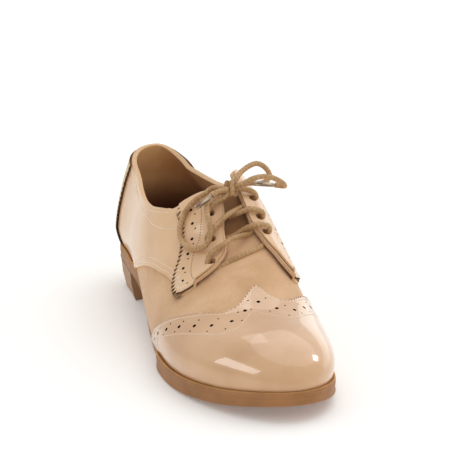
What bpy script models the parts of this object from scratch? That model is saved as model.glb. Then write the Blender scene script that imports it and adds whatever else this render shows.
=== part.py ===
"""A woman's laced wing-tip shoe for the right foot, standing empty on its sole.

Metres, +Z up, toe towards -Y, the outer side of the foot towards -X. The origin is the
centre of the heel's flat underside. Every piece takes its place from one form, the last:
share runs along the last from the heel's back (0) to the toe's tip (1), and level runs
round a section from the outer feather edge (-1) over the ridge (0) to the inner one (1).
"""
import bpy
import bmesh
import numpy as np
from mathutils import Matrix, Vector

# Driving sizes of the last
LAST_LENGTH = 0.256
BALL_WIDTH = 0.084
INSTEP_HEIGHT = 0.070
HEEL_HEIGHT = 0.024
TOE_SPRING = 0.0081
HEEL_BACK = 0.030

# Driving sizes of the sole
SOLE_BUILD = 0.0086
WELT_LEDGE = 0.0030
WELT_THICKNESS = 0.0025
WELT_INSIDE = 0.0024
WAIST_SHELF = 0.0014
OUTSOLE_THICKNESS = 0.0046
OUTSOLE_STEP = 0.0004
OUTSOLE_ROUND = 0.0012
HEEL_LENGTH = 0.055
HEEL_TAPER = 0.0028
BREAST_HOLLOW = 0.0040
INSOLE_RISE = 0.0020
INSOLE_ROUND = 0.0008
WELT_RIM = 0.00075

# Driving sizes of the upper
VAMP_WALL = 0.0013
QUARTER_WALL = 0.0025
QUARTER_STEP = 0.0010
FLAP_WALL = 0.0020
FLAP_LIFT = 0.0026
TRIM_WALL = 0.0009
TONGUE_WALL = 0.0018
COUNTER_REACH = 0.024
EYELET_BORE = 0.0042
EYELET_DEPTH = 0.020
SEAT_GAP = 0.0003
TRIM_GAP = 0.0004

# Driving sizes of the lace
LACE_THICKNESS = 0.0027
LACE_GAP = 0.0005
KNOT_CLEAR = 0.0010
LACE_SAG = 0.0015
LACE_STEP = 2.4
AGLET_THICKNESS = 0.0024
KNOT_PLACE = (0.0014, -0.1080, 0.0805)
KNOT_HALF = (0.0046, 0.0040, 0.0042)

# Shares of the last that the outline closes over, and the powers of its closing curves
HEEL_ROUND = 0.115
HEEL_POWER = 2.3
TOE_START = 0.70
TOE_POWER = 2.3
TOE_ROOT = 1.9
TOE_DROP = 0.86
DROP_POWER = 2.4
DROP_ROOT = 2.2
TOE_STATION = 0.80
WAIST_START = 0.20
WAIST_FULL = 0.36
WAIST_LEAVE = 0.58
WAIST_END = 0.68
FEATHER_LEVEL = 0.22
FEATHER_WIDTH = 0.94
TUCK_PEAK = 6.75

# One row per section: half widths and lean are shares of the ball width, rise of the heel's
# rise, spring of the toe spring, ridge of the instep height above the feather edge, belly is
# the widest level's share of the section's height, and tuck is how far the inner wall draws
# in at the collar, in ball widths
SECTION = ("share", "outer", "inner", "rise", "spring", "ridge", "belly", "round", "lean", "tuck")
SECTIONS = (
    (0.00, 0.385, 0.340, 1.000, 0.000, 1.071, 0.13, 1.25, -0.12, 0.00),
    (0.12, 0.385, 0.340, 1.000, 0.000, 1.097, 0.13, 1.25, -0.07, 0.12),
    (0.25, 0.410, 0.315, 0.938, 0.000, 1.124, 0.16, 1.35, -0.06, 0.06),
    (0.38, 0.462, 0.290, 0.532, 0.000, 1.110, 0.22, 1.60, -0.02, 0.00),
    (0.50, 0.515, 0.310, 0.143, 0.000, 0.977, 0.25, 1.75, 0.06, 0.00),
    (0.60, 0.545, 0.335, 0.034, 0.000, 0.744, 0.26, 1.70, 0.08, 0.00),
    (0.70, 0.550, 0.350, 0.003, 0.000, 0.571, 0.27, 1.70, 0.05, 0.00),
    (0.80, 0.535, 0.360, 0.000, 0.065, 0.423, 0.28, 1.80, 0.02, 0.00),
    (0.90, 0.500, 0.380, 0.000, 0.300, 0.331, 0.30, 2.00, 0.00, 0.00),
    (1.00, 0.450, 0.420, 0.000, 0.775, 0.250, 0.32, 2.10, 0.00, 0.00),
)

# The sole's underside: rise is a share of the heel seat's height, spring of the toe spring
UNDERSIDE = ("share", "rise", "spring")
UNDERSIDES = (
    (0.00, 1.00, 0.00),
    (0.24, 1.00, 0.00),
    (0.32, 0.78, 0.00),
    (0.42, 0.37, 0.00),
    (0.52, 0.11, 0.00),
    (0.60, 0.00, 0.00),
    (0.74, 0.00, 0.00),
    (0.84, 0.00, 0.19),
    (0.92, 0.00, 0.49),
    (1.00, 0.00, 1.00),
)

# How far the heel's back is cut forward of a plumb line, at shares of the section's height,
# which fades out along the last
BACK_FADE = 0.35
BACK_LINE = ("height", "forward")
BACK_LINES = (
    (0.00, 0.0035),
    (0.25, 0.0005),
    (0.45, 0.0000),
    (0.75, 0.0040),
    (1.00, 0.0120),
)

# The quarters' edges: lower is the level of the bottom edge and of the seam on the vamp,
# upper the level of the collar and then of the free edge beside the throat
QUARTER = ("share", "lower", "upper")
QUARTER_OUTER = (
    (0.000, 0.990, 0.362),
    (0.035, 0.990, 0.380),
    (0.080, 0.990, 0.402),
    (0.150, 0.990, 0.438),
    (0.260, 0.990, 0.482),
    (0.300, 0.930, 0.488),
    (0.360, 0.840, 0.480),
    (0.404, 0.771, 0.458),
    (0.440, 0.715, 0.420),
    (0.462, 0.682, 0.386),
    (0.478, 0.660, 0.342),
    (0.486, 0.649, 0.270),
    (0.494, 0.638, 0.190),
    (0.504, 0.626, 0.130),
    (0.520, 0.605, 0.110),
    (0.545, 0.576, 0.120),
    (0.585, 0.523, 0.157),
    (0.611, 0.502, 0.167),
    (0.636, 0.494, 0.178),
    (0.652, 0.490, 0.208),
    (0.664, 0.482, 0.255),
    (0.670, 0.460, 0.300),
    (0.674, 0.420, 0.352),
)
QUARTER_INNER = (
    (0.000, 0.990, 0.362),
    (0.035, 0.990, 0.408),
    (0.080, 0.990, 0.428),
    (0.150, 0.990, 0.440),
    (0.260, 0.990, 0.468),
    (0.300, 0.930, 0.462),
    (0.345, 0.860, 0.430),
    (0.382, 0.800, 0.377),
    (0.410, 0.755, 0.340),
    (0.430, 0.730, 0.300),
    (0.442, 0.715, 0.240),
    (0.450, 0.705, 0.170),
    (0.460, 0.690, 0.110),
    (0.480, 0.665, 0.060),
    (0.510, 0.625, 0.020),
    (0.540, 0.580, 0.004),
    (0.567, 0.548, 0.004),
    (0.595, 0.513, 0.025),
    (0.611, 0.500, 0.062),
    (0.637, 0.485, 0.127),
    (0.651, 0.475, 0.182),
    (0.668, 0.455, 0.237),
    (0.680, 0.420, 0.290),
    (0.686, 0.385, 0.335),
)

# Where the loose flaps rise off the vamp: between these shares of the last, and between
# these shares of the quarter's own height
LIFT_START = 0.47
LIFT_FULL = 0.56
LIFT_SEAM = 0.40
LIFT_EDGE = 0.85

# The facings' back edges, which lie on the quarters
FACING_INSET = 0.010
FACING = ("share", "lower")
FACING_OUTER = (
    (0.482, 0.326),
    (0.523, 0.332),
    (0.555, 0.357),
    (0.582, 0.396),
    (0.601, 0.440),
    (0.622, 0.470),
    (0.645, 0.482),
    (0.662, 0.474),
    (0.669, 0.450),
    (0.673, 0.412),
)
FACING_INNER = (
    (0.445, 0.300),
    (0.500, 0.335),
    (0.540, 0.365),
    (0.575, 0.410),
    (0.601, 0.445),
    (0.620, 0.465),
    (0.650, 0.445),
    (0.668, 0.415),
    (0.680, 0.380),
)

# The toe cap's back edge: a wing that rises to a point a little outside the ridge
WING = ("level", "share")
WINGS = (
    (-1.000, 0.592),
    (-0.900, 0.620),
    (-0.750, 0.662),
    (-0.590, 0.705),
    (-0.456, 0.743),
    (-0.370, 0.766),
    (-0.297, 0.785),
    (-0.237, 0.791),
    (-0.177, 0.783),
    (-0.130, 0.765),
    (-0.065, 0.742),
    (0.000, 0.765),
    (0.060, 0.779),
    (0.120, 0.785),
    (0.190, 0.782),
    (0.270, 0.769),
    (0.380, 0.742),
    (0.550, 0.698),
    (0.720, 0.658),
    (0.900, 0.618),
    (1.000, 0.592),
)

# The vamp's hidden back edge, which runs on under the quarters
VAMP_BACK = ("level", "share")
VAMP_BACKS = (
    (0.00, 0.600),
    (0.30, 0.585),
    (0.45, 0.555),
    (0.60, 0.490),
    (0.80, 0.360),
    (1.00, 0.235),
)

# The heel counter's top, a level below the collar, and its foot
COUNTER_TOP = 0.012
COUNTER_FOOT = 0.965

# The tongue: its ends as shares, its half widths as levels, and how much its root narrows
TONGUE_TOP = 0.490
TONGUE_WAIST = 0.58
TONGUE_ROOT = 0.655
TONGUE_OUTER = 0.34
TONGUE_INNER = 0.31
TONGUE_NARROW = 0.25

# Eyelets, three a side, as share and level
EYELETS = {
    "outer_low": (0.649, -0.282),
    "outer_middle": (0.595, -0.250),
    "outer_top": (0.545, -0.215),
    "inner_low": (0.604, 0.160),
    "inner_middle": (0.570, 0.150),
    "inner_top": (0.530, 0.150),
}

# The lace's crossings between eyelets
CROSSINGS = (
    ("outer_low", "inner_middle"),
    ("outer_middle", "inner_low"),
    ("outer_middle", "inner_top"),
    ("outer_top", "inner_middle"),
)

# The strands up to the knot: eyelet, way into the knot, and where each leaves its flap
STRANDS = (
    ("outer_top", "strand_outer", (0.536, -0.120)),
    ("inner_top", "strand_inner", (0.528, 0.100)),
)

# Ways out of the knot, as directions from its middle
KNOT_WAYS = {
    "strand_outer": (-0.60, -0.50, -0.60),
    "strand_inner": (0.90, -0.25, -0.20),
    "loop_outer": (-0.86, 0.40, 0.25),
    "back_outer": (-0.90, -0.30, -0.05),
    "end_outer": (-0.62, -0.72, 0.30),
    "loop_inner": (0.50, 0.52, 0.69),
    "back_inner": (0.80, 0.55, 0.10),
    "end_inner": (0.50, -0.75, 0.43),
}

# Routes of the bow's loops and ends, in metres: each leaves the knot, and a loop comes back
LOOP_OUTER = (
    (-0.0074, -0.1050, 0.0807),
    (-0.0112, -0.1043, 0.0778),
    (-0.0152, -0.1033, 0.0753),
    (-0.0190, -0.1036, 0.0721),
    (-0.0225, -0.1047, 0.0679),
    (-0.0249, -0.1075, 0.0638),
    (-0.0262, -0.1119, 0.0597),
    (-0.0259, -0.1168, 0.0572),
    (-0.0243, -0.1218, 0.0561),
    (-0.0216, -0.1268, 0.0564),
    (-0.0185, -0.1304, 0.0583),
    (-0.0161, -0.1309, 0.0617),
    (-0.0146, -0.1278, 0.0652),
    (-0.0141, -0.1228, 0.0687),
    (-0.0137, -0.1179, 0.0720),
    (-0.0124, -0.1138, 0.0752),
    (-0.0098, -0.1102, 0.0779),
)
END_OUTER = (
    (-0.0077, -0.1154, 0.0812),
    (-0.0102, -0.1164, 0.0797),
)
AGLET_OUTER = ((-0.0107, -0.1165, 0.0794), (-0.0189, -0.1154, 0.0739))
LOOP_INNER = (
    (0.0072, -0.1030, 0.0864),
    (0.0105, -0.1008, 0.0881),
    (0.0139, -0.0990, 0.0893),
    (0.0178, -0.0972, 0.0897),
    (0.0214, -0.0955, 0.0880),
    (0.0243, -0.0947, 0.0851),
    (0.0252, -0.0955, 0.0822),
    (0.0230, -0.0975, 0.0803),
    (0.0190, -0.1000, 0.0799),
    (0.0142, -0.1022, 0.0809),
    (0.0102, -0.1036, 0.0814),
)
END_INNER = (
    (0.0071, -0.1140, 0.0845),
    (0.0107, -0.1160, 0.0868),
    (0.0149, -0.1175, 0.0878),
    (0.0189, -0.1180, 0.0874),
    (0.0229, -0.1173, 0.0855),
    (0.0263, -0.1150, 0.0830),
    (0.0284, -0.1115, 0.0807),
    (0.0286, -0.1082, 0.0797),
    (0.0273, -0.1060, 0.0795),
    (0.0251, -0.1056, 0.0798),
)
AGLET_INNER = ((0.0246, -0.1056, 0.0799), (0.0142, -0.1060, 0.0816))

OUTER, INNER = -1, 1


def column(rows, names, name):
    return np.array([row[names.index(name)] for row in rows])


def smooth(rows, names, name, at, key=None):
    """A cubic through a table's rows that can't swing past them."""
    x = column(rows, names, key or names[0])
    y = column(rows, names, name)
    at = np.clip(np.asarray(at, float), x[0], x[-1])
    step = np.diff(x)
    rise = np.diff(y) / step
    slope = np.gradient(y, x)
    flat = np.minimum(np.abs(rise[:-1]), np.abs(rise[1:])) * 3
    same = rise[:-1] * rise[1:] > 0
    slope[1:-1] = np.where(same, np.clip(slope[1:-1], -flat, flat), 0)
    i = np.clip(np.searchsorted(x, at, side="right") - 1, 0, len(x) - 2)
    q = (at - x[i]) / step[i]
    ends = (1 + 2 * q) * (1 - q) ** 2 * y[i] + q * q * (3 - 2 * q) * y[i + 1]
    turns = q * (1 - q) ** 2 * slope[i] - q * q * (1 - q) * slope[i + 1]
    return ends + turns * step[i]


def section(name, share):
    return smooth(SECTIONS, SECTION, name, share)


def ease(low, high, value):
    q = np.clip((value - low) / (high - low), 0, 1)
    return q * q * (3 - 2 * q)


def feather_height(share):
    """Height of the edge where the upper meets the sole."""
    rise = section("rise", share) * (HEEL_HEIGHT - SOLE_BUILD)
    return SOLE_BUILD + rise + section("spring", share) * TOE_SPRING


def width_close(share):
    toe = np.clip((share - TOE_START) / (1 - TOE_START), 0, 1)
    heel = np.clip(1 - share / HEEL_ROUND, 0, 1)
    return (1 - toe ** TOE_POWER) ** (1 / TOE_ROOT) * np.sqrt(1 - heel ** HEEL_POWER)


def height_close(share):
    toe = np.clip((share - TOE_DROP) / (1 - TOE_DROP), 0, 1)
    return (1 - toe ** DROP_POWER) ** (1 / DROP_ROOT)


def last_point(share, level):
    """The last's surface, as arrays of x, y, z."""
    share, level = np.broadcast_arrays(np.asarray(share, float), np.asarray(level, float))
    up = 1 - np.abs(level)
    half = np.where(level < 0, section("outer", share), section("inner", share))
    half = half * BALL_WIDTH * width_close(share)
    low = feather_height(share)
    tall = INSTEP_HEIGHT * section("ridge", share) * height_close(share)
    belly = tall * section("belly", share)
    near = np.clip(up / FEATHER_LEVEL, 0, 1)
    turn = np.clip((up - FEATHER_LEVEL) / (1 - FEATHER_LEVEL), 0, 1) * np.pi / 2
    power = 2 / section("round", share)
    wall_x = half * (FEATHER_WIDTH + (1 - FEATHER_WIDTH) * np.sin(near * np.pi / 2))
    dome_x = half * np.cos(turn) ** power
    wall_z = belly * near
    dome_z = belly + (tall - belly) * np.sin(turn) ** power
    wall = up < FEATHER_LEVEL
    x = np.where(wall, wall_x, dome_x)
    z = np.where(wall, wall_z, dome_z)
    height = z / np.maximum(tall, 1e-9)
    lean = BALL_WIDTH * section("lean", share) * height
    drawn = BALL_WIDTH * section("tuck", share) * TUCK_PEAK * height ** 2 * (1 - height)
    x = np.where(level > 0, x - drawn, x)
    fade = np.clip(1 - share / BACK_FADE, 0, 1) ** 2
    forward = np.interp(height, column(BACK_LINES, BACK_LINE, "height"),
                        column(BACK_LINES, BACK_LINE, "forward")) * fade
    y = HEEL_BACK - share * LAST_LENGTH - forward
    return np.stack([np.sign(level) * x + lean, y, low + z], -1)


def normals(grid, pole):
    """Normals of a grid over the last, pointing away from the middle of its own section."""
    out = np.cross(np.gradient(grid, axis=0), np.gradient(grid, axis=1))
    middle = np.array([0, 0, HEEL_HEIGHT])
    if np.sum(out * (grid - middle) * (1, 0, 1)) < 0:
        out = -out
    if pole:
        out[-1] = (0, -1, 0)
    out /= np.maximum(np.linalg.norm(out, axis=-1, keepdims=True), 1e-12)
    return out


def material(name, colour, roughness, metallic=0.0, coat=0.0):
    made = bpy.data.materials.new(name)
    made.use_nodes = True
    shader = made.node_tree.nodes["Principled BSDF"]
    shader.inputs["Base Color"].default_value = (*colour, 1)
    shader.inputs["Roughness"].default_value = roughness
    shader.inputs["Metallic"].default_value = metallic
    shader.inputs["Coat Weight"].default_value = coat
    made.diffuse_color = (*colour, 1)
    return made


def mesh_object(name, points, faces, finish):
    mesh = bpy.data.meshes.new(name)
    mesh.from_pydata([tuple(p) for p in points], [], faces)
    build = bmesh.new()
    build.from_mesh(mesh)
    bmesh.ops.remove_doubles(build, verts=build.verts, dist=1e-6)
    bmesh.ops.recalc_face_normals(build, faces=build.faces)
    build.to_mesh(mesh)
    build.free()
    mesh.shade_smooth()
    mesh.set_sharp_from_angle(angle=0.6)
    mesh.materials.append(finish)
    made = bpy.data.objects.new(name, mesh)
    bpy.context.scene.collection.objects.link(made)
    return made


def shell(name, share, level, inner, outer, finish, pole=False):
    """A wall between two offsets of the last, over a grid of share and level."""
    grid = last_point(share, level)
    out = normals(grid, pole)
    skins = [grid + out * np.broadcast_to(d, share.shape)[..., None] for d in (outer, inner)]
    rows, columns = share.shape
    count = rows * columns
    if pole:
        for skin in skins:
            skin[-1] = skin[-1, columns // 2]
    faces = []
    for i in range(rows - 1):
        for j in range(columns - 1):
            a = i * columns + j
            quad = (a, a + 1, a + columns + 1, a + columns)
            faces.append(quad)
            faces.append(tuple(count + k for k in reversed(quad)))
    rim = [j for j in range(columns)]
    rim += [(i + 1) * columns - 1 for i in range(1, rows)]
    if pole:
        rim += [i * columns for i in range(rows - 1, 0, -1)]
    else:
        rim += [(rows - 1) * columns + j for j in range(columns - 2, -1, -1)]
        rim += [i * columns for i in range(rows - 2, 0, -1)]
    for a, b in zip(rim, rim[1:] + rim[:1]):
        faces.append((b, a, count + a, count + b))
    points = np.concatenate([skin.reshape(-1, 3) for skin in skins])
    return mesh_object(name, points, tidy_faces(points, faces), finish)


def tidy_faces(points, faces):
    """Drops the doubled corners that a pole leaves, and faces with no area."""
    keep = []
    place = [tuple(np.round(p, 6)) for p in points]
    for face in faces:
        corners = [k for n, k in enumerate(face) if place[k] != place[face[n - 1]]]
        if len(corners) > 2:
            keep.append(tuple(corners))
    return keep


def boolean(target, tool, operation):
    change = target.modifiers.new(operation.title(), "BOOLEAN")
    change.operation = operation
    change.object = tool
    tool.hide_render = True
    tool.display_type = "WIRE"


def heel_stations(count):
    return HEEL_ROUND * (1 - np.cos(np.linspace(0, np.pi / 2, count)))


def round_heel(outer, inner):
    """Joins the stations of both sides into one run round the heel's back."""
    shares = np.concatenate([outer[::-1], inner[1:]])
    sides = np.concatenate([np.full(len(outer), OUTER), np.full(len(inner) - 1, INNER)])
    return shares, sides


def quarter_edge(name, share, side):
    rows = QUARTER_OUTER if side == OUTER else QUARTER_INNER
    return smooth(rows, QUARTER, name, share)


def flap_lift(share, level, side):
    """How much of the flap's lift a point of the quarter has: none along its seams."""
    lower = quarter_edge("lower", share, side)
    upper = quarter_edge("upper", share, side)
    across = (lower - np.abs(level)) / (lower - upper)
    return ease(LIFT_START, LIFT_FULL, share) * ease(LIFT_SEAM, LIFT_EDGE, across)


def both_lifts(share, level):
    return np.where(level < 0, flap_lift(share, level, OUTER), flap_lift(share, level, INNER))


def quarter_outside(share, level):
    return QUARTER_STEP + FLAP_LIFT * both_lifts(share, level)


CLOSE_STATIONS = 0.016
QUARTER_START = 0.13


def side_stations(side, start):
    """Stations from a start on the quarter to its tip, closest along the free edge."""
    rows = QUARTER_OUTER if side == OUTER else QUARTER_INNER
    shares = column(rows, QUARTER, "share")
    shares = shares[shares > start]
    between = (shares[1:] + shares[:-1]) / 2
    near = between[(between > TONGUE_TOP) & (np.diff(shares) > CLOSE_STATIONS)]
    return np.sort(np.concatenate([[start], shares, near]))


def quarter_sheet(start_count, levels):
    """Grid of share and level over both quarters, from one tip to the other."""
    runs = []
    for side in (OUTER, INNER):
        runs.append(np.concatenate([heel_stations(start_count),
                                    side_stations(side, QUARTER_START)]))
    shares, sides = round_heel(*runs)
    across = np.linspace(0, 1, levels)
    share = np.repeat(shares[:, None], levels, 1)
    level = np.empty_like(share)
    for i, (s, side) in enumerate(zip(shares, sides)):
        lower = quarter_edge("lower", s, side)
        upper = quarter_edge("upper", s, side)
        level[i] = side * (lower + (upper - lower) * across)
    return share, level


def make_quarters(finish):
    share, level = quarter_sheet(8, 8)
    outside = quarter_outside(share, level)
    wall = QUARTER_WALL + (FLAP_WALL - QUARTER_WALL) * both_lifts(share, level)
    return shell("quarters", share, level, outside - wall, outside, finish)


def toe_grid(levels, back, rows):
    """Grid from a back edge to the pole at the toe's tip, closest at the tip."""
    run = np.sin(np.linspace(0, np.pi / 2, rows))
    share = back[None, :] + (1 - back[None, :]) * run[:, None]
    return share, np.repeat(levels[None, :], rows, 0)


def make_vamp(finish):
    levels = np.linspace(-0.995, 0.995, 27)
    back = smooth(VAMP_BACKS, VAMP_BACK, "share", np.abs(levels))
    share, level = toe_grid(levels, back, 15)
    return shell("vamp", share, level, -VAMP_WALL, 0, finish, pole=True)


def eyelet_cutter(name, share, level):
    step = 1e-4
    centre = Vector(last_point(share, level))
    along = last_point(share + step, level) - last_point(share - step, level)
    across = last_point(share, level + step) - last_point(share, level - step)
    axis = Vector(np.cross(along, across)).normalized()
    build = bmesh.new()
    bmesh.ops.create_cone(build, cap_ends=True, segments=12, depth=EYELET_DEPTH,
                          radius1=EYELET_BORE / 2, radius2=EYELET_BORE / 2)
    turn = axis.to_track_quat("Z", "Y").to_matrix().to_4x4()
    bmesh.ops.transform(build, matrix=Matrix.Translation(centre) @ turn, verts=build.verts)
    mesh = bpy.data.meshes.new("cutter_" + name)
    build.to_mesh(mesh)
    build.free()
    made = bpy.data.objects.new(mesh.name, mesh)
    bpy.context.scene.collection.objects.link(made)
    return made


def make_upper(leather, suede, cutters):
    """One hollow wall: the vamp, with both quarters joined on to it."""
    upper = make_vamp(suede)
    upper.name = "upper"
    boolean(upper, make_quarters(leather), "UNION")
    for cutter in cutters:
        boolean(upper, cutter, "DIFFERENCE")


def make_toe_cap(finish):
    levels = np.linspace(-0.985, 0.985, 34)
    back = smooth(WINGS, WING, "share", levels)
    share, level = toe_grid(levels, back, 11)
    shell("toe_cap", share, level, TRIM_GAP, TRIM_GAP + TRIM_WALL, finish, pole=True)


def make_facing(name, side, rows, cutters, finish):
    ends = column(rows, FACING, "share")[[0, -1]]
    shares = side_stations(side, ends[0])
    shares = np.append(shares[shares < ends[1]], ends[1])
    lower = smooth(rows, FACING, "lower", shares)
    upper = quarter_edge("upper", shares, side) + FACING_INSET
    across = np.linspace(0, 1, 7)
    share = np.repeat(shares[:, None], len(across), 1)
    level = side * (lower[:, None] + (upper - lower)[:, None] * across[None, :])
    outside = quarter_outside(share, level)
    made = shell(name, share, level, outside + TRIM_GAP, outside + TRIM_GAP + TRIM_WALL, finish)
    for cutter in cutters:
        boolean(made, cutter, "DIFFERENCE")


def make_counter(finish):
    reach = COUNTER_REACH / LAST_LENGTH
    stations = reach * (1 - np.cos(np.linspace(0, np.pi / 2, 7)))
    shares, sides = round_heel(stations, stations)
    across = np.linspace(0, 1, 6)
    share = np.repeat(shares[:, None], len(across), 1)
    level = np.empty_like(share)
    for i, (s, side) in enumerate(zip(shares, sides)):
        top = quarter_edge("upper", s, side) + COUNTER_TOP
        level[i] = side * (COUNTER_FOOT + (top - COUNTER_FOOT) * across)
    outside = QUARTER_STEP + TRIM_GAP
    shell("heel_counter", share, level, outside, outside + TRIM_WALL, finish)


def make_tongue(finish):
    drop = max(VAMP_WALL, QUARTER_WALL - QUARTER_STEP) + SEAT_GAP
    shares = np.linspace(TONGUE_TOP, TONGUE_ROOT, 9)
    across = np.linspace(-1, 1, 11)
    share = np.repeat(shares[:, None], len(across), 1)
    narrow = 1 - TONGUE_NARROW * ease(TONGUE_WAIST, TONGUE_ROOT, share)
    reach = np.where(across < 0, TONGUE_OUTER, TONGUE_INNER)
    level = across * reach * narrow
    shell("tongue", share, level, -drop - TONGUE_WALL, -drop, finish)


def sole_stations():
    heel = heel_stations(8)
    middle = np.linspace(HEEL_ROUND, TOE_STATION, 16)[1:]
    toe = TOE_STATION + (1 - TOE_STATION) * np.sin(np.linspace(0, np.pi / 2, 9)[1:])
    breast = HEEL_LENGTH / LAST_LENGTH
    return np.sort(np.concatenate([heel, middle, toe, [breast]]))


def feather_loop(shares, grow):
    """The feather edge seen from above, grown outwards: outer side, tip, inner side."""
    outer = last_point(shares, -1.0)
    inner = last_point(shares[-2:0:-1], 1.0)
    loop = np.concatenate([outer, inner])[:, :2]
    ahead = np.roll(loop, -1, 0) - np.roll(loop, 1, 0)
    out = np.stack([ahead[:, 1], -ahead[:, 0]], -1)
    out /= np.linalg.norm(out, axis=1, keepdims=True)
    if np.sum(out * (loop - loop.mean(0))) < 0:
        out = -out
    return loop + out * np.broadcast_to(grow, len(loop))[:, None]


def ledge(shares):
    """How far the sole stands out round the upper. At the waist it draws in under it."""
    around = np.concatenate([shares, shares[-2:0:-1]])
    waist = ease(WAIST_START, WAIST_FULL, around) * (1 - ease(WAIST_LEAVE, WAIST_END, around))
    return WELT_LEDGE - (WELT_LEDGE + WELT_INSIDE - WAIST_SHELF) * waist


def loop_heights(shares, height):
    return np.concatenate([height(shares), height(shares[-2:0:-1])])


def ladder(count, stations, first, up):
    """Faces across a loop, from the back point over pairs of side points to the tip."""
    faces = [(first, first + 1, first + count - 1)]
    for k in range(1, stations - 2):
        faces.append((first + k, first + k + 1, first + count - k - 1, first + count - k))
    tip = stations - 1
    faces.append((first + tip - 1, first + tip, first + tip + 1))
    return faces if up else [tuple(reversed(face)) for face in faces]


def rings(loops):
    """Faces between loops of equal length that follow each other down a side."""
    count = len(loops[0])
    faces = []
    for ring in range(len(loops) - 1):
        for k in range(count):
            a, b = ring * count + k, ring * count + (k + 1) % count
            faces.append((a, b, b + count, a + count))
    return faces


def slab(name, shares, sides, finish):
    """A plate through rings of (growth, height function), from the top one down."""
    loops = []
    for grow, height in sides:
        plan = feather_loop(shares, grow)
        loops.append(np.column_stack([plan, loop_heights(shares, height)]))
    count = len(loops[0])
    faces = rings(loops)
    faces += ladder(count, len(shares), 0, True)
    faces += ladder(count, len(shares), (len(loops) - 1) * count, False)
    return mesh_object(name, np.concatenate(loops), faces, finish)


def welt_top(share):
    return feather_height(share) - SEAT_GAP


def welt_under(share):
    return welt_top(share) - WELT_THICKNESS


def outsole_top(share):
    return welt_under(share) - SEAT_GAP


def outsole_under(share):
    seat = HEEL_HEIGHT - WELT_THICKNESS - OUTSOLE_THICKNESS - 2 * SEAT_GAP
    rise = smooth(UNDERSIDES, UNDERSIDE, "rise", share) * seat
    return rise + smooth(UNDERSIDES, UNDERSIDE, "spring", share) * TOE_SPRING


def make_outsole(finish):
    shares = sole_stations()
    edge = ledge(shares) - OUTSOLE_STEP
    slab("outsole", shares, (
        (edge, outsole_top),
        (edge, lambda s: outsole_under(s) + OUTSOLE_ROUND),
        (edge - OUTSOLE_ROUND * 0.3, lambda s: outsole_under(s) + OUTSOLE_ROUND * 0.3),
        (edge - OUTSOLE_ROUND, outsole_under),
    ), finish)


def make_welt(finish):
    shares = sole_stations()
    edge = ledge(shares)
    sides = (
        (-WELT_INSIDE, welt_top),
        (edge - WELT_RIM / 2, welt_top),
        (edge, lambda s: welt_top(s) - WELT_RIM),
        (edge, welt_under),
        (-WELT_INSIDE, welt_under),
    )
    loops = [np.column_stack([feather_loop(shares, grow), loop_heights(shares, height)])
             for grow, height in sides]
    count = len(loops[0])
    faces = rings(loops)
    last = (len(loops) - 1) * count
    for k in range(count):
        after = (k + 1) % count
        faces.append((last + k, last + after, after, k))
    mesh_object("welt", np.concatenate(loops), faces, finish)


def make_insole(finish):
    inset = -(WELT_INSIDE + SEAT_GAP)
    slab("insole", sole_stations(), (
        (inset - INSOLE_ROUND, lambda s: feather_height(s) + INSOLE_RISE),
        (inset, lambda s: feather_height(s) + INSOLE_RISE * 0.6),
        (inset, lambda s: outsole_top(s) + SEAT_GAP),
    ), finish)


def make_heel(finish):
    """The heel block: under the sole's own outline, with a hollowed breast."""
    breast = HEEL_LENGTH / LAST_LENGTH
    whole = sole_stations()
    shares = whole[whole <= breast + 1e-6]
    top = outsole_under(0.0) - SEAT_GAP
    loops = []
    for grow, height in ((0.0, top), (-HEEL_TAPER * 0.25, top * 0.55), (-HEEL_TAPER, 0.0)):
        plan = feather_loop(whole, ledge(whole) - OUTSOLE_STEP + grow)
        outer = plan[:len(shares)]
        inner = plan[len(plan) - len(shares) + 1:]
        front = outer[-1, 1] - grow * 0.3
        across = np.linspace(0, 1, 9)[1:-1]
        arc = np.column_stack([
            outer[-1, 0] + (inner[0, 0] - outer[-1, 0]) * across,
            front + BREAST_HOLLOW * (1 - (2 * across - 1) ** 2),
        ])
        outer[-1, 1] = front
        inner[0, 1] = front
        plan = np.concatenate([outer, arc, inner])
        loops.append(np.column_stack([plan, np.full(len(plan), height)]))
    count = len(loops[0])
    faces = rings(loops)
    faces.append(tuple(range(count)))
    faces.append(tuple(range(3 * count - 1, 2 * count - 1, -1)))
    mesh_object("heel", np.concatenate(loops), faces, finish)


def smooth_route(route, spacing):
    """Points at an even spacing along one smooth curve through a route's points."""
    ends = [2 * route[0] - route[1]], [2 * route[-1] - route[-2]]
    knots = np.concatenate([ends[0], route, ends[1]])
    fine = []
    for a, b, c, d in zip(knots, knots[1:], knots[2:], knots[3:]):
        q = np.linspace(0, 1, 40, endpoint=False)[:, None]
        bend = 2 * a - 5 * b + 4 * c - d
        twist = 3 * b - a - 3 * c + d
        fine.append((2 * b + (c - a) * q + bend * q * q + twist * q ** 3) / 2)
    fine = np.concatenate(fine + [route[-1:]])
    run = np.concatenate([[0], np.cumsum(np.linalg.norm(np.diff(fine, axis=0), axis=1))])
    at = np.linspace(0, run[-1], max(2, round(run[-1] / spacing) + 1))
    return np.stack([np.interp(at, run, fine[:, k]) for k in range(3)], -1)


def tube(name, points, thickness, finish):
    curve = bpy.data.curves.new(name, "CURVE")
    curve.dimensions = "3D"
    curve.bevel_depth = thickness / 2
    curve.bevel_resolution = 2
    curve.use_fill_caps = True
    spline = curve.splines.new("POLY")
    spline.points.add(len(points) - 1)
    for point, place in zip(spline.points, points):
        point.co = (*place, 1)
    curve.materials.append(finish)
    made = bpy.data.objects.new(name, curve)
    bpy.context.scene.collection.objects.link(made)
    return made


def knot_exit(way, clear):
    """Where a strand leaves the knot: a gap away from the knot's own surface."""
    way = np.array(KNOT_WAYS[way])
    way = way / np.linalg.norm(way)
    reach = 1 / np.linalg.norm(way / KNOT_HALF)
    return np.array(KNOT_PLACE) + way * (reach + clear)


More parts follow.
